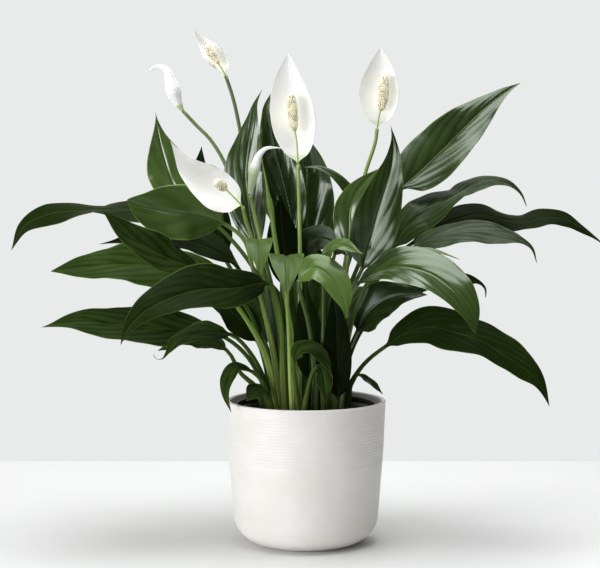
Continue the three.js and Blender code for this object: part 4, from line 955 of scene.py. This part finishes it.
def build_leaf(row):
    """One leaf from the soil to its tip: a stalk that opens into a blade."""
    plant = bpy.context.scene.lily_plant
    tone, stalk_tone, _ = row["look"]
    route = stem_route(row["route"])
    start = route.share_of(row["base"])
    blade_length = (1 - start) * route.length
    stalk_count = max(8, int(start * route.length / STALK_PITCH))
    blade_count = max(24, int(blade_length / STATION_PITCH))
    t = np.linspace(0, 1, stalk_count, endpoint=False)
    v = np.linspace(0, 1, blade_count)[:-1]
    v = np.concatenate([t - 1, v])[:, None]
    u = np.where(v < 0, (v + 1) * start, start + (1 - start) * v)[:, 0]
    frames = Frames(route, u, facing_at(row["facing"], v[:, 0]))
    q, upper, angle = blade_columns()
    blade_v = np.clip(v, 0, 1)

    rise = np.clip(v + 1, 0, 1)
    radius = PETIOLE_FOOT_RADIUS + (PETIOLE_TOP_RADIUS - PETIOLE_FOOT_RADIUS) * rise
    sheath = np.sin(math.pi * np.clip(rise / SHEATH_SHARE, 0, 1)) * SHEATH_SPREAD
    groove = np.exp(-(q / GROOVE_WIDTH) ** 2) * upper * GROOVE_DEPTH
    stalk_side = np.cos(angle) * (radius + sheath)
    stalk_height = np.sin(angle) * radius - groove * (sheath + GROOVE_AT_TOP * rise)

    half = row["width"] / 2 * outline(blade_v, row["shoulder"], row["taper"])
    lobe = half * (row["fold"] * np.abs(q) - CURL * q ** 2)
    side_phase = np.where(q < 0, row["phase"], row["phase"] + OTHER_SIDE)
    turns = TAU * row["waves"] * blade_v
    wave = row["wave"] * np.sin(turns + side_phase)
    ruffle = RUFFLE * row["wave"] * np.sin(RUFFLE_TURNS * turns + RUFFLE_SHIFT * side_phase)
    lift = lobe + (wave * q ** 2 + ruffle * q ** 4) * np.sin(math.pi * blade_v)
    phase = vein_phase(blade_v, q, blade_length)
    cushion = sunk_veins(phase) * smooth_step(0.0, CUSHION_FROM, np.abs(q))
    cushion = cushion * (1 - np.abs(q) ** CUSHION_EDGE) * np.minimum(half / BROAD_HALF, 1)
    cushion = cushion * plant.vein_relief / MM
    rib_distance = np.abs(q) * half
    channel = CHANNEL_DEPTH * np.exp(-(rib_distance / CHANNEL_WIDTH) ** 2)
    channel = channel * smooth_step(0, CHANNEL_HALF, half)
    keel = np.maximum(KEEL_DEPTH * (1 - KEEL_TAPER * blade_v), KEEL_AT_TIP)
    thickness = plant.leaf_thickness / MM * (1 - MARGIN_THINNING * q ** 2)
    thickness = thickness + keel * np.exp(-(rib_distance / KEEL_WIDTH) ** 2)
    blade_height = lift + cushion - channel - (1 - upper) * thickness

    flat = smooth_step(0, BLADE_OPENS, v)
    slim = np.maximum(PETIOLE_TOP_RADIUS * (1 - SLIM_TAPER * blade_v), 0)
    round_side = np.cos(angle) * np.where(half < slim, slim, radius)
    stalk_side = np.where(v > 0, round_side, stalk_side)
    side = stalk_side * (1 - flat) + q * half * flat
    height = stalk_height * (1 - flat) + blade_height * flat
    rings = with_tip(with_foot(frames.place(side, height)), route)
    attributes = {"along": v, "across": q, "upper": upper, "vein": phase,
                  "rib": rib_distance, "tone": tone, "stalk": stalk_tone}
    return skin(row["name"] + "_grown", rings, spread(attributes, side.shape, -1))


FAR_FROM_RIB = 9.0
SPEAR_RINGS = 90
SPEAR_RADIUS = 2.3
SPEAR_TAPERS = 0.8  # the share of the spear below its drawn-out point
SPEAR_POINT = 0.8  # how slender that is
SPEAR_TIP_RADIUS = 0.4
JOINT_SWELL = 1.4
JOINT_AT = 0.83
JOINT_LENGTH = 0.035


def build_spear():
    """The newest leaf, still rolled into a spear with a swollen joint."""
    u = np.linspace(0, 1, SPEAR_RINGS)
    radius = SPEAR_RADIUS + JOINT_SWELL * np.exp(-((u - JOINT_AT) / JOINT_LENGTH) ** 2)
    point = np.minimum((1 - u) / (1 - SPEAR_TAPERS), 1) ** SPEAR_POINT
    _, rings = stem(SPEAR["scape"], np.maximum(radius * point, SPEAR_TIP_RADIUS))
    along = np.append(u[:1], u)[:, None] - 1.0
    # Its colours are those of a young leaf's stalk.
    attributes = {"along": along * 0.9 - 0.08, "across": 0.5, "upper": 1.0, "tone": 0.9,
                  "stalk": 0.8, "rib": FAR_FROM_RIB, "vein": along * 8}
    return skin("leaf_spear_rolled", rings, attributes)


# ---------------------------------------------------------------- flowers

SCAPE_RINGS = 60
SCAPE_FOOT_RADIUS = 2.2
SCAPE_TOP_RADIUS = 1.8
SEAT_RISE = 0.55  # a flower part starts this far above its scape's top
CROWN_FROM = 220  # between these heights the painted shade on a flower stalk fades as it comes up out of the crown
CROWN_TO = 320


def seat_on_scape(flower, offset):
    """Where a flower part stands on its scape's top: offset is towards its front."""
    top = Frames(stem_route(flower["scape"]), END, FRONT)
    return top.origin[0] + top.along[0] * SEAT_RISE + top.normal[0] * offset


def build_scape(flower):
    """The leafless flower stalk, straight in the soil and then curved up."""
    radius = np.linspace(SCAPE_FOOT_RADIUS, SCAPE_TOP_RADIUS, SCAPE_RINGS)
    frames, rings = stem(flower["scape"], radius)
    height = np.append(frames.origin[0, 2], frames.origin[:, 2])[:, None]
    # Painted shade: fully dark below the crown, and the flower's shade share above it.
    shade = 1 - (1 - flower["shade"]) * smooth_step(CROWN_FROM, CROWN_TO, height)
    shade = shade if flower["shade"] else 0.0
    return skin(flower["name"] + "_stalk", rings, {"shade": shade})


SPATHE_RINGS = 90
SPATHE_FOOT_RADIUS = 0.7
SPATHE_FOOT_OFFSET = -1.05
SPATHE_SHOULDER = 0.7
SPATHE_OPENS = 0.08  # where its round foot has turned into a blade
SPATHE_THICKNESS = 0.45
SPATHE_THINNING = 0.5
SPATHE_RIB = 0.6
SPATHE_RIB_WIDTH = 1.2
SPATHE_CUSHION = 0.12
SPATHE_CUSHION_FROM = 0.15
SPATHE_TINT = 0.5  # how green its foot and midrib are
SPATHE_GREEN = 0.12  # the share of its length over which its foot is green
FULL_SPATHE = 44  # the width at which its waves and veins are full grown
# Each wave's height, its turns along and across, and how it keeps to the margin.
SPATHE_WAVES = ((1.2, 9, 3, 2), (0.35, 31, 5, 4))


def build_spathe(flower):
    """The white flower leaf: a cupped blade with a fine point behind the spadix."""
    route = Route([seat_on_scape(flower, SPATHE_FOOT_OFFSET), *flower["spathe"]])
    v = np.linspace(0, 1, SPATHE_RINGS)[:-1][:, None]
    frames = Frames(route, v[:, 0], flower["facing"])
    q, upper, angle = blade_columns()
    half = flower["width"] / 2 * outline(v, SPATHE_SHOULDER, flower["taper"])
    grown = (flower["width"] / FULL_SPATHE) ** 2
    height = flower["cup"] * half * q ** 2
    for crest, along, across, margin in SPATHE_WAVES:
        wave = grown * crest * np.sin(along * v + across * q)
        height = height + wave * q ** margin * np.sin(math.pi * v)
    rib_distance = np.abs(q) * half
    thickness = SPATHE_THICKNESS * (1 - SPATHE_THINNING * q ** 2)
    rib = SPATHE_RIB * np.exp(-(rib_distance / SPATHE_RIB_WIDTH) ** 2) * (1 - v)
    phase = vein_phase(v, q, 2 * route.length)
    cushion = grown * SPATHE_CUSHION * sunk_veins(phase)
    cushion = cushion * smooth_step(0, SPATHE_CUSHION_FROM, np.abs(q)) * (1 - q ** 4)
    height = height + cushion - (1 - upper) * (thickness + rib)
    flat = smooth_step(0, SPATHE_OPENS, v)
    side = np.cos(angle) * SPATHE_FOOT_RADIUS * (1 - flat) + q * half * flat
    height = np.sin(angle) * SPATHE_FOOT_RADIUS * (1 - flat) + height * flat
    rings = with_tip(frames.place(side, height), route)
    attributes = {"along": v, "vein": phase, "rib": rib_distance, "tone": SPATHE_TINT,
                  "reach": SPATHE_GREEN}
    return skin(flower["name"] + "_spathe_blade", rings, spread(attributes, side.shape, 0))


BUD_RINGS = 160
BUD_SIDES = 96
BUD_TIP_RADIUS = 0.45
BUD_OPENING = 22  # how fast a bud may widen above its stalk, in mm over its length
BUD_FOOT = 0.24  # how far along its swelling it starts
BUD_TAPER = 1.2
SEAM_DEPTH = 0.06  # the edge of the rolled spathe
SEAM_WIDTH = 0.05
SEAM_AT = 0.3
SEAM_TURN = 0.25
ROLL_RELIEF = 0.02  # the flattened sides of the roll


def build_bud(flower):
    """A spathe that is still rolled shut, with a drawn-out, bent tip."""
    route = Route([seat_on_scape(flower, 0), *flower["bud"]])
    v = np.linspace(0, 1, BUD_RINGS)
    frames = Frames(route, v, FRONT)
    full_at = flower["full_at"]
    swell = np.minimum(1, v / full_at)
    swell = np.sin(math.pi / 2 * (BUD_FOOT + (1 - BUD_FOOT) * swell))
    taper = ((1 - v) / (1 - full_at)) ** BUD_TAPER
    body = flower["radius"] * np.where(v < full_at, swell, np.minimum(taper, 1))
    widest = SCAPE_TOP_RADIUS + v * BUD_OPENING
    radius = np.maximum(BUD_TIP_RADIUS, np.minimum(body, widest))
    angle = np.linspace(math.pi, -math.pi, BUD_SIDES + 1)[None]
    roll = (angle + math.pi) / TAU
    v = v[:, None]
    seam = np.exp(-((roll - SEAM_AT - SEAM_TURN * v) / SEAM_WIDTH) ** 2)
    radius = radius[:, None] * (1 - SEAM_DEPTH * seam)
    radius = radius * (1 + ROLL_RELIEF * np.sin(5 * angle + 4 * v))
    rings = frames.place(np.cos(angle) * radius, np.sin(angle) * radius)
    attributes = {"along": v, "vein": 7 * roll, "rib": FAR_FROM_RIB, "tone": 1.0,
                  "reach": flower["green"]}
    return skin(flower["name"] + "_rolled_spathe", rings, attributes)


STIPE_OFFSET = 0.75
STIPE_RADIUS = 0.8
CORE_SHARE = 0.93  # the core's share of the column's radius
GREEN_FROM = -0.02  # the stipe's green fades from here to there past its top
GREEN_TO = 0.06
FLORET_ROW = 1.65  # between two rows of florets
FLORET_PITCH = 2.0  # and between two florets of a row
FLORET_SUNK = 0.05
FLORET_LENGTH = 0.85
FLORET_HEIGHT = 0.75
STIGMA_RISE = 0.25
STIGMA_EDGE = 0.6  # the higher, the nearer to a floret's top its stigma starts
COLUMN_FROM, COLUMN_SPAN, COLUMN_FULLNESS = 0.08, 0.86, 0.45  # how its ends are rounded
FLORETS_FROM, FLORETS_SPAN = 0.02, 0.95  # the share of the column that they cover
SMALLEST_FLORET, FLORET_RANGE = 0.9, 0.2


def column_swell(share):
    """The radius of a spadix as a share of its full one: it is round at both ends."""
    return np.sin(math.pi * (COLUMN_FROM + COLUMN_SPAN * share)) ** COLUMN_FULLNESS


def build_floret():
    """One floret: a low crown with a stigma at its top, as points and faces in mm."""
    obj = add_primitive("floret", bpy.ops.mesh.primitive_uv_sphere_add, segments=6,
                        ring_count=5, radius=1)
    points = np.array([v.co for v in obj.data.vertices])
    faces = [tuple(face.vertices) for face in obj.data.polygons]
    bpy.data.objects.remove(obj)
    stigma = np.clip(points[:, 2] * (1 + STIGMA_EDGE) - STIGMA_EDGE, 0, 1)
    crown = points * [1, 1, FLORET_HEIGHT]
    crown[:, 2] += STIGMA_RISE * stigma
    return crown, faces, stigma


def build_spadix(flower, floret):
    """The cream column on its short stipe, covered in florets in crossing rows."""
    route = Route([seat_on_scape(flower, STIPE_OFFSET), *flower["spadix"]])
    stipe = flower["stipe"]
    u = np.concatenate([np.linspace(0, stipe, 12, endpoint=False), np.linspace(stipe, 1, 40)])
    v = np.clip((u - stipe) / (1 - stipe), 0, 1)
    body = flower["radius"] * column_swell(v) * CORE_SHARE
    rings = round_rings(Frames(route, u, FRONT), np.where(u < stipe, STIPE_RADIUS, body))
    green = 1 - smooth_step(stipe + GREEN_FROM, stipe + GREEN_TO, u[:, None])
    core = skin(flower["name"] + "_spadix_core", rings, {"stigma": 0.0, "green": green})

    points, faces, stigma = floret
    rows = max(6, int((1 - stipe) * route.length / FLORET_ROW))
    all_points, all_faces = [], []
    draw = np.random.RandomState(11)
    for row in range(rows):
        share = (row + 0.5) / rows
        place = stipe + (1 - stipe) * (FLORETS_FROM + FLORETS_SPAN * share)
        ring = Frames(route, np.array([place]), FRONT)
        width = flower["radius"] * column_swell(share)
        count = max(5, int(TAU * width / FLORET_PITCH))
        for k in range(count):
            angle = TAU * (k + 0.5 * (row % 2)) / count
            out = ring.across[0] * math.cos(angle) + ring.normal[0] * math.sin(angle)
            side = np.cross(out, ring.along[0])
            basis = np.stack([side, ring.along[0] * FLORET_LENGTH, out])
            basis = basis * (SMALLEST_FLORET + FLORET_RANGE * draw.rand())
            centre = ring.origin[0] + out * (width * CORE_SHARE - FLORET_SUNK)
            offset = len(all_points) * len(points)
            all_points.append(centre + points @ basis)
            all_faces.extend(tuple(i + offset for i in face) for face in faces)
    cover = bpy.data.meshes.new(flower["name"] + "_florets")
    cover.from_pydata((np.vstack(all_points) * MM).tolist(), [], all_faces)
    layer = cover.attributes.new("stigma", "FLOAT", "POINT")
    layer.data.foreach_set("value", np.tile(stigma, len(all_points)).astype(np.float32))
    florets = bpy.data.objects.new(cover.name, cover)
    bpy.context.scene.collection.objects.link(florets)
    edit_mesh(florets)
    bpy.ops.object.shade_smooth()
    return join(flower["name"] + "_spadix_column", [core, florets])


# ---------------------------------------------------------------- pots and soil

# The ceramic pot, in millimetres.
WAIST_RADIUS = 73  # above the rounded bottom edge
CORNER = 30  # the radius of that edge
BELLY_RADIUS = 78
BELLY_HEIGHT = 95
WALL = 4
LIP = 1.5  # the height of the round rim
RIM_FLATNESS = 0.7
INNER_RIM = 6  # how far below the rim the inner wall is straight
FLOOR = 6
FOOT_RING = 4  # the width of the ring it stands on
FOOT_BEVEL = 2.5
HOLLOW = 0.6  # the height of the bottom inside that ring
SIDE_FROM = 33
SIDE_PITCH = 6.0
CORNER_END = -0.05  # the angle at which a rounded corner meets the side
GROOVES_FROM = 86
GROOVES_TO = 133
GROOVE_POINTS = 6  # in one pitch
GROOVE_SHARPNESS = 0.7

# The nursery pot.
PLASTIC_WALL = 1.2
PLASTIC_BASE = 42.0  # the radius of its bottom
PLASTIC_SHOULDER = 68.5  # and below its rim
PLASTIC_RIM = 7  # the height of its rim
ROLL_RADIUS = 0.8  # of the rim's top
BASE_EDGE = 1.5
RIM_EDGE = 0.7


def ceramic_profile():
    """The profile of the ceramic pot: foot, grooved side, round rim, inner wall."""
    pot = bpy.context.scene.lily_pot
    rim, height = pot.rim_radius / MM, pot.height / MM
    pitch, depth = pot.groove_pitch / MM, pot.groove_depth / MM

    def side(z, inset=0.0):
        """The point of the side at a height above the bottom edge."""
        radius = np.interp(z, [CORNER, BELLY_HEIGHT, height], [WAIST_RADIUS, BELLY_RADIUS, rim])
        return float(radius) - inset, z

    flat = WAIST_RADIUS - CORNER
    inner = CORNER - WALL
    middle = rim - WALL / 2
    profile = [(0, HOLLOW), (flat - FOOT_RING, HOLLOW), (flat - FOOT_BEVEL, 0), (flat, 0)]
    profile += [(flat + CORNER * math.cos(angle), CORNER * (1 + math.sin(angle)))
                for angle in np.linspace(-math.pi / 2, CORNER_END, 20)[1:]]
    profile += [side(z) for z in np.arange(SIDE_FROM, GROOVES_FROM, SIDE_PITCH)]
    for z in np.arange(GROOVES_FROM, GROOVES_TO, pitch / GROOVE_POINTS):
        dip = max(0.0, math.sin(TAU * (z - GROOVES_FROM) / pitch)) ** GROOVE_SHARPNESS
        profile.append(side(z, dip * depth))
    profile += [side(z) for z in np.linspace(GROOVES_TO + 1, height - LIP, 5)]
    profile += [(middle + WALL / 2 * math.cos(angle),
                 height - WALL / 2 * RIM_FLATNESS * (1 - math.sin(angle)))
                for angle in np.linspace(0, math.pi, 13)]
    profile += [side(z, WALL) for z in np.linspace(height - INNER_RIM, CORNER, 12)]
    profile += [(flat + inner * math.cos(angle), FLOOR + inner * (1 + math.sin(angle)))
                for angle in np.linspace(CORNER_END, -math.pi / 2, 12)]
    return [*profile, (0, FLOOR)]


def nursery_profile():
    """The thin nursery pot with its rolled rim."""
    low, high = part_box("nursery_pot")
    rim, foot, top = high.x / MM, low.z / MM, high.z / MM
    spread_out = PLASTIC_SHOULDER - PLASTIC_BASE
    ledge = top - PLASTIC_RIM
    profile = [(0, foot), (PLASTIC_BASE - BASE_EDGE, foot),
               (PLASTIC_BASE, foot + BASE_EDGE)]
    profile += [(PLASTIC_BASE + spread_out * t, foot + (ledge - foot) * t)
                for t in np.linspace(0.06, 1, 14)]
    profile += [(rim - RIM_EDGE, ledge), (rim, ledge + RIM_EDGE)]
    profile += [(rim - ROLL_RADIUS + ROLL_RADIUS * math.cos(angle),
                 top - ROLL_RADIUS + ROLL_RADIUS * math.sin(angle))
                for angle in np.linspace(0, math.pi, 9)]
    profile += [(rim - 2 * ROLL_RADIUS, ledge + PLASTIC_WALL),
                (PLASTIC_SHOULDER - PLASTIC_WALL, ledge)]
    profile += [(PLASTIC_BASE - PLASTIC_WALL + spread_out * t,
                 foot + PLASTIC_WALL + (ledge - foot - PLASTIC_WALL) * t)
                for t in np.linspace(0.95, 0, 12)]
    return [*profile, (0, foot + PLASTIC_WALL)]


SOIL_BASE = 0.6  # the radius of its bottom as a share of its top's
SOIL_PITCH = 1.4  # between two rings of its top
SOIL_SINKS = 0.7
CRUMBLED = 3  # the depth of the crumbled top
# The lumps of the top: their size, their height and their shift in the noise.
LUMPS = ((7, 1.3, Vector((0, 0, 0))), (2.6, 1.2, Vector((9, 4, 2))))


def build_soil():
    """A plug of potting mix with a crumbled top."""
    low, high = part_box("soil")
    radius, bottom, top = high.x / MM, low.z / MM, high.z / MM
    profile = [(0, bottom), (radius * SOIL_BASE, bottom),
               (radius * (SOIL_BASE + 0.03), bottom + 2),
               (radius - 1.5, top - 4), (radius - 0.3, top - 1.5)]
    profile += [(r, top) for r in np.arange(radius - 1.2, 1.0, -SOIL_PITCH)]
    obj = turned("potting_mix", [*profile, (0, top)], 150)
    for vertex in obj.data.vertices:
        if vertex.co.z > (top - CRUMBLED) * MM:
            spot = vertex.co / MM
            lump = sum(noise.noise(spot / size + shift) * rise for size, rise, shift in LUMPS)
            vertex.co.z += (lump - SOIL_SINKS) * MM
    return obj


# ---------------------------------------------------------------- stage

CAMERA_PLACE = (-0.006, -1.6, 0.369)
CAMERA_TARGET = (-0.006, 0.0, 0.260)
SENSOR_WIDTH = 36
AMBIENT = 0.05  # the light from all round

# Each softbox: its place, the point it looks at, its size and its power.
SOFTBOXES = {
    "key_softbox": ((-2.85, -1.8, 0.6), (0, 0, 0.25), (2.0, 1.3), 56),
    "front_softbox": ((-1.75, -2.6, 0.15), (0, 0, 0.3), (1.3, 1.0), 20),
    "overhead_softbox": ((0.1, -0.1, 2.1), (0, 0, 0.25), (1.6, 1.6), 46),
}
FLOOR_CORNERS = ((-1.1, -0.6, 0), (1.1, -0.6, 0), (1.1, 0.45, 0), (-1.1, 0.45, 0))
BACKDROP_CORNERS = ((-8.4, 4.6, -2.5), (3.35, 4.6, -2.5), (3.35, 4.6, 5.4), (-8.4, 4.6, 5.4))


def add_to_stage(name, data, place=(0, 0, 0), target=None):
    """Sets a board, a light or a camera in the scene, looking at its target."""
    obj = bpy.data.objects.new(name, data)
    obj.location = place
    if target:
        aim = Vector(target) - Vector(place)
        obj.rotation_euler = aim.to_track_quat("-Z", "Y").to_euler()
    bpy.context.scene.collection.objects.link(obj)
    return obj


def add_board(name, corners, material):
    """A flat board of the stage from its four corners."""
    mesh = bpy.data.meshes.new(name)
    mesh.from_pydata(corners, [], [(0, 1, 2, 3)])
    mesh.materials.append(material)
    board = add_to_stage(name, mesh)


# ---------------------------------------------------------------- operators

class LILY_OT_stage(bpy.types.Operator):
    """Sets the floor, the backdrop, the lights and the camera"""
    bl_idname = "lily.stage"
    bl_label = "Stage"

    def execute(self, context):
        scene, stage = context.scene, context.scene.lily_stage
        add_board("stage_floor", FLOOR_CORNERS, board_material(stage.floor))
        add_board("stage_backdrop", BACKDROP_CORNERS, screen_material(stage.backdrop))
        for name, (place, target, size, power) in SOFTBOXES.items():
            data = bpy.data.lights.new(name, "AREA")
            data.shape = "RECTANGLE"
            data.size, data.size_y = size
            data.energy = power
            add_to_stage(name, data, place, target)
        scene.world = scene.world or bpy.data.worlds.new("studio")
        scene.world.use_nodes = True
        background = scene.world.node_tree.nodes["Background"].inputs
        background["Color"].default_value = linear("#e9ebeb")
        background["Strength"].default_value = AMBIENT
        data = bpy.data.cameras.new("camera")
        data.lens = stage.lens
        data.sensor_width = SENSOR_WIDTH
        scene.camera = add_to_stage("camera", data, CAMERA_PLACE, CAMERA_TARGET)
        scene.view_settings.view_transform = "Standard"
        return {"FINISHED"}


class LILY_OT_ceramic_pot(bpy.types.Operator):
    """Turns the off-white ceramic pot with its fine grooves"""
    bl_idname = "lily.ceramic_pot"
    bl_label = "Ceramic Pot"

    def execute(self, context):
        obj = turned("ceramic_cachepot", ceramic_profile(), 160)
        hand_over(obj, glaze_material(), "ceramic", "ceramic_pot")
        return {"FINISHED"}


class LILY_OT_nursery_pot(bpy.types.Operator):
    """Turns the thin black nursery pot"""
    bl_idname = "lily.nursery_pot"
    bl_label = "Nursery Pot"

    def execute(self, context):
        obj = turned("plastic_nursery_pot", nursery_profile(), 120)
        hand_over(obj, plastic_material(), "black_plastic", "nursery_pot")
        return {"FINISHED"}


class LILY_OT_soil(bpy.types.Operator):
    """Fills the nursery pot with potting mix"""
    bl_idname = "lily.soil"
    bl_label = "Soil"

    def execute(self, context):
        hand_over(build_soil(), soil_material(), "soil", "soil")
        return {"FINISHED"}


class LILY_OT_leaves(bpy.types.Operator):
    """Grows the leaves, then the shoots of small ones and the newest, still rolled"""
    bl_idname = "lily.leaves"
    bl_label = "Leaves"

    def execute(self, context):
        materials = {finish: leaf_material(finish) for finish in LEAF_FINISHES}
        pieces = {row["name"]: (row,) for row in LEAVES}
        for name, rows in {**pieces, **SHOOTS}.items():
            obj = join(name + "_grown", [build_leaf(row) for row in rows])
            slot = "young_leaf" if name in YOUNG_LEAVES else "leaf"
            hand_over(obj, materials[rows[0]["look"][2]], slot, name)
        hand_over(build_spear(), materials["satin"], "young_leaf", SPEAR["name"])
        return {"FINISHED"}


class LILY_OT_flower_stalks(bpy.types.Operator):
    """Grows the stalks of the flowers and buds"""
    bl_idname = "lily.flower_stalks"
    bl_label = "Flower Stalks"

    def execute(self, context):
        material = scape_material()
        for flower in (*FLOWERS, *BUDS):
            hand_over(build_scape(flower), material, "scape", flower["name"] + "_scape")
        return {"FINISHED"}


class LILY_OT_spathes(bpy.types.Operator):
    """Opens the white spathes of the flowers and rolls those of the buds"""
    bl_idname = "lily.spathes"
    bl_label = "Spathes"

    def execute(self, context):
        material = spathe_material()
        for flower in (*FLOWERS, *BUDS):
            obj = build_bud(flower) if "bud" in flower else build_spathe(flower)
            hand_over(obj, material, "spathe", flower["name"] + "_spathe")
        return {"FINISHED"}


class LILY_OT_spadices(bpy.types.Operator):
    """Sets the florets on their columns"""
    bl_idname = "lily.spadices"
    bl_label = "Spadices"

    def execute(self, context):
        material = spadix_material()
        floret = build_floret()
        for flower in FLOWERS:
            obj = build_spadix(flower, floret)
            hand_over(obj, material, "spadix", flower["name"] + "_spadix")
        return {"FINISHED"}


class LILY_PT_panel(bpy.types.Panel):
    """Lists the pieces of the potted peace lily"""
    bl_label = "Peace Lily"
    bl_idname = "LILY_PT_panel"
    bl_space_type = "VIEW_3D"
    bl_region_type = "UI"
    bl_category = "Peace Lily"

    def draw(self, context):
        scene = context.scene
        for settings in (scene.lily_pot, scene.lily_plant, scene.lily_stage):
            box = self.layout.box()
            for key in settings.bl_rna.properties.keys():
                if key not in ("rna_type", "name"):
                    box.prop(settings, key)
        for operator in OPERATORS:
            self.layout.operator(operator.bl_idname)


OPERATORS = (
    LILY_OT_stage,
    LILY_OT_ceramic_pot,
    LILY_OT_nursery_pot,
    LILY_OT_soil,
    LILY_OT_leaves,
    LILY_OT_flower_stalks,
    LILY_OT_spathes,
    LILY_OT_spadices,
)
CLASSES = (LilyPotSettings, LilyPlantSettings, LilyStageSettings, *OPERATORS, LILY_PT_panel)


def register():
    for cls in CLASSES:
        bpy.utils.register_class(cls)
    bpy.types.Scene.lily_pot = bpy.props.PointerProperty(type=LilyPotSettings)
    bpy.types.Scene.lily_plant = bpy.props.PointerProperty(type=LilyPlantSettings)
    bpy.types.Scene.lily_stage = bpy.props.PointerProperty(type=LilyStageSettings)


def unregister():
    del bpy.types.Scene.lily_stage
    del bpy.types.Scene.lily_plant
    del bpy.types.Scene.lily_pot
    for cls in reversed(CLASSES):
        bpy.utils.unregister_class(cls)


def main():
    register()
    bpy.ops.lily.stage()
    bpy.ops.lily.ceramic_pot()
    bpy.ops.lily.nursery_pot()
    bpy.ops.lily.soil()
    bpy.ops.lily.leaves()
    bpy.ops.lily.flower_stalks()
    bpy.ops.lily.spathes()
    bpy.ops.lily.spadices()


if __name__ == "__main__":
    main()
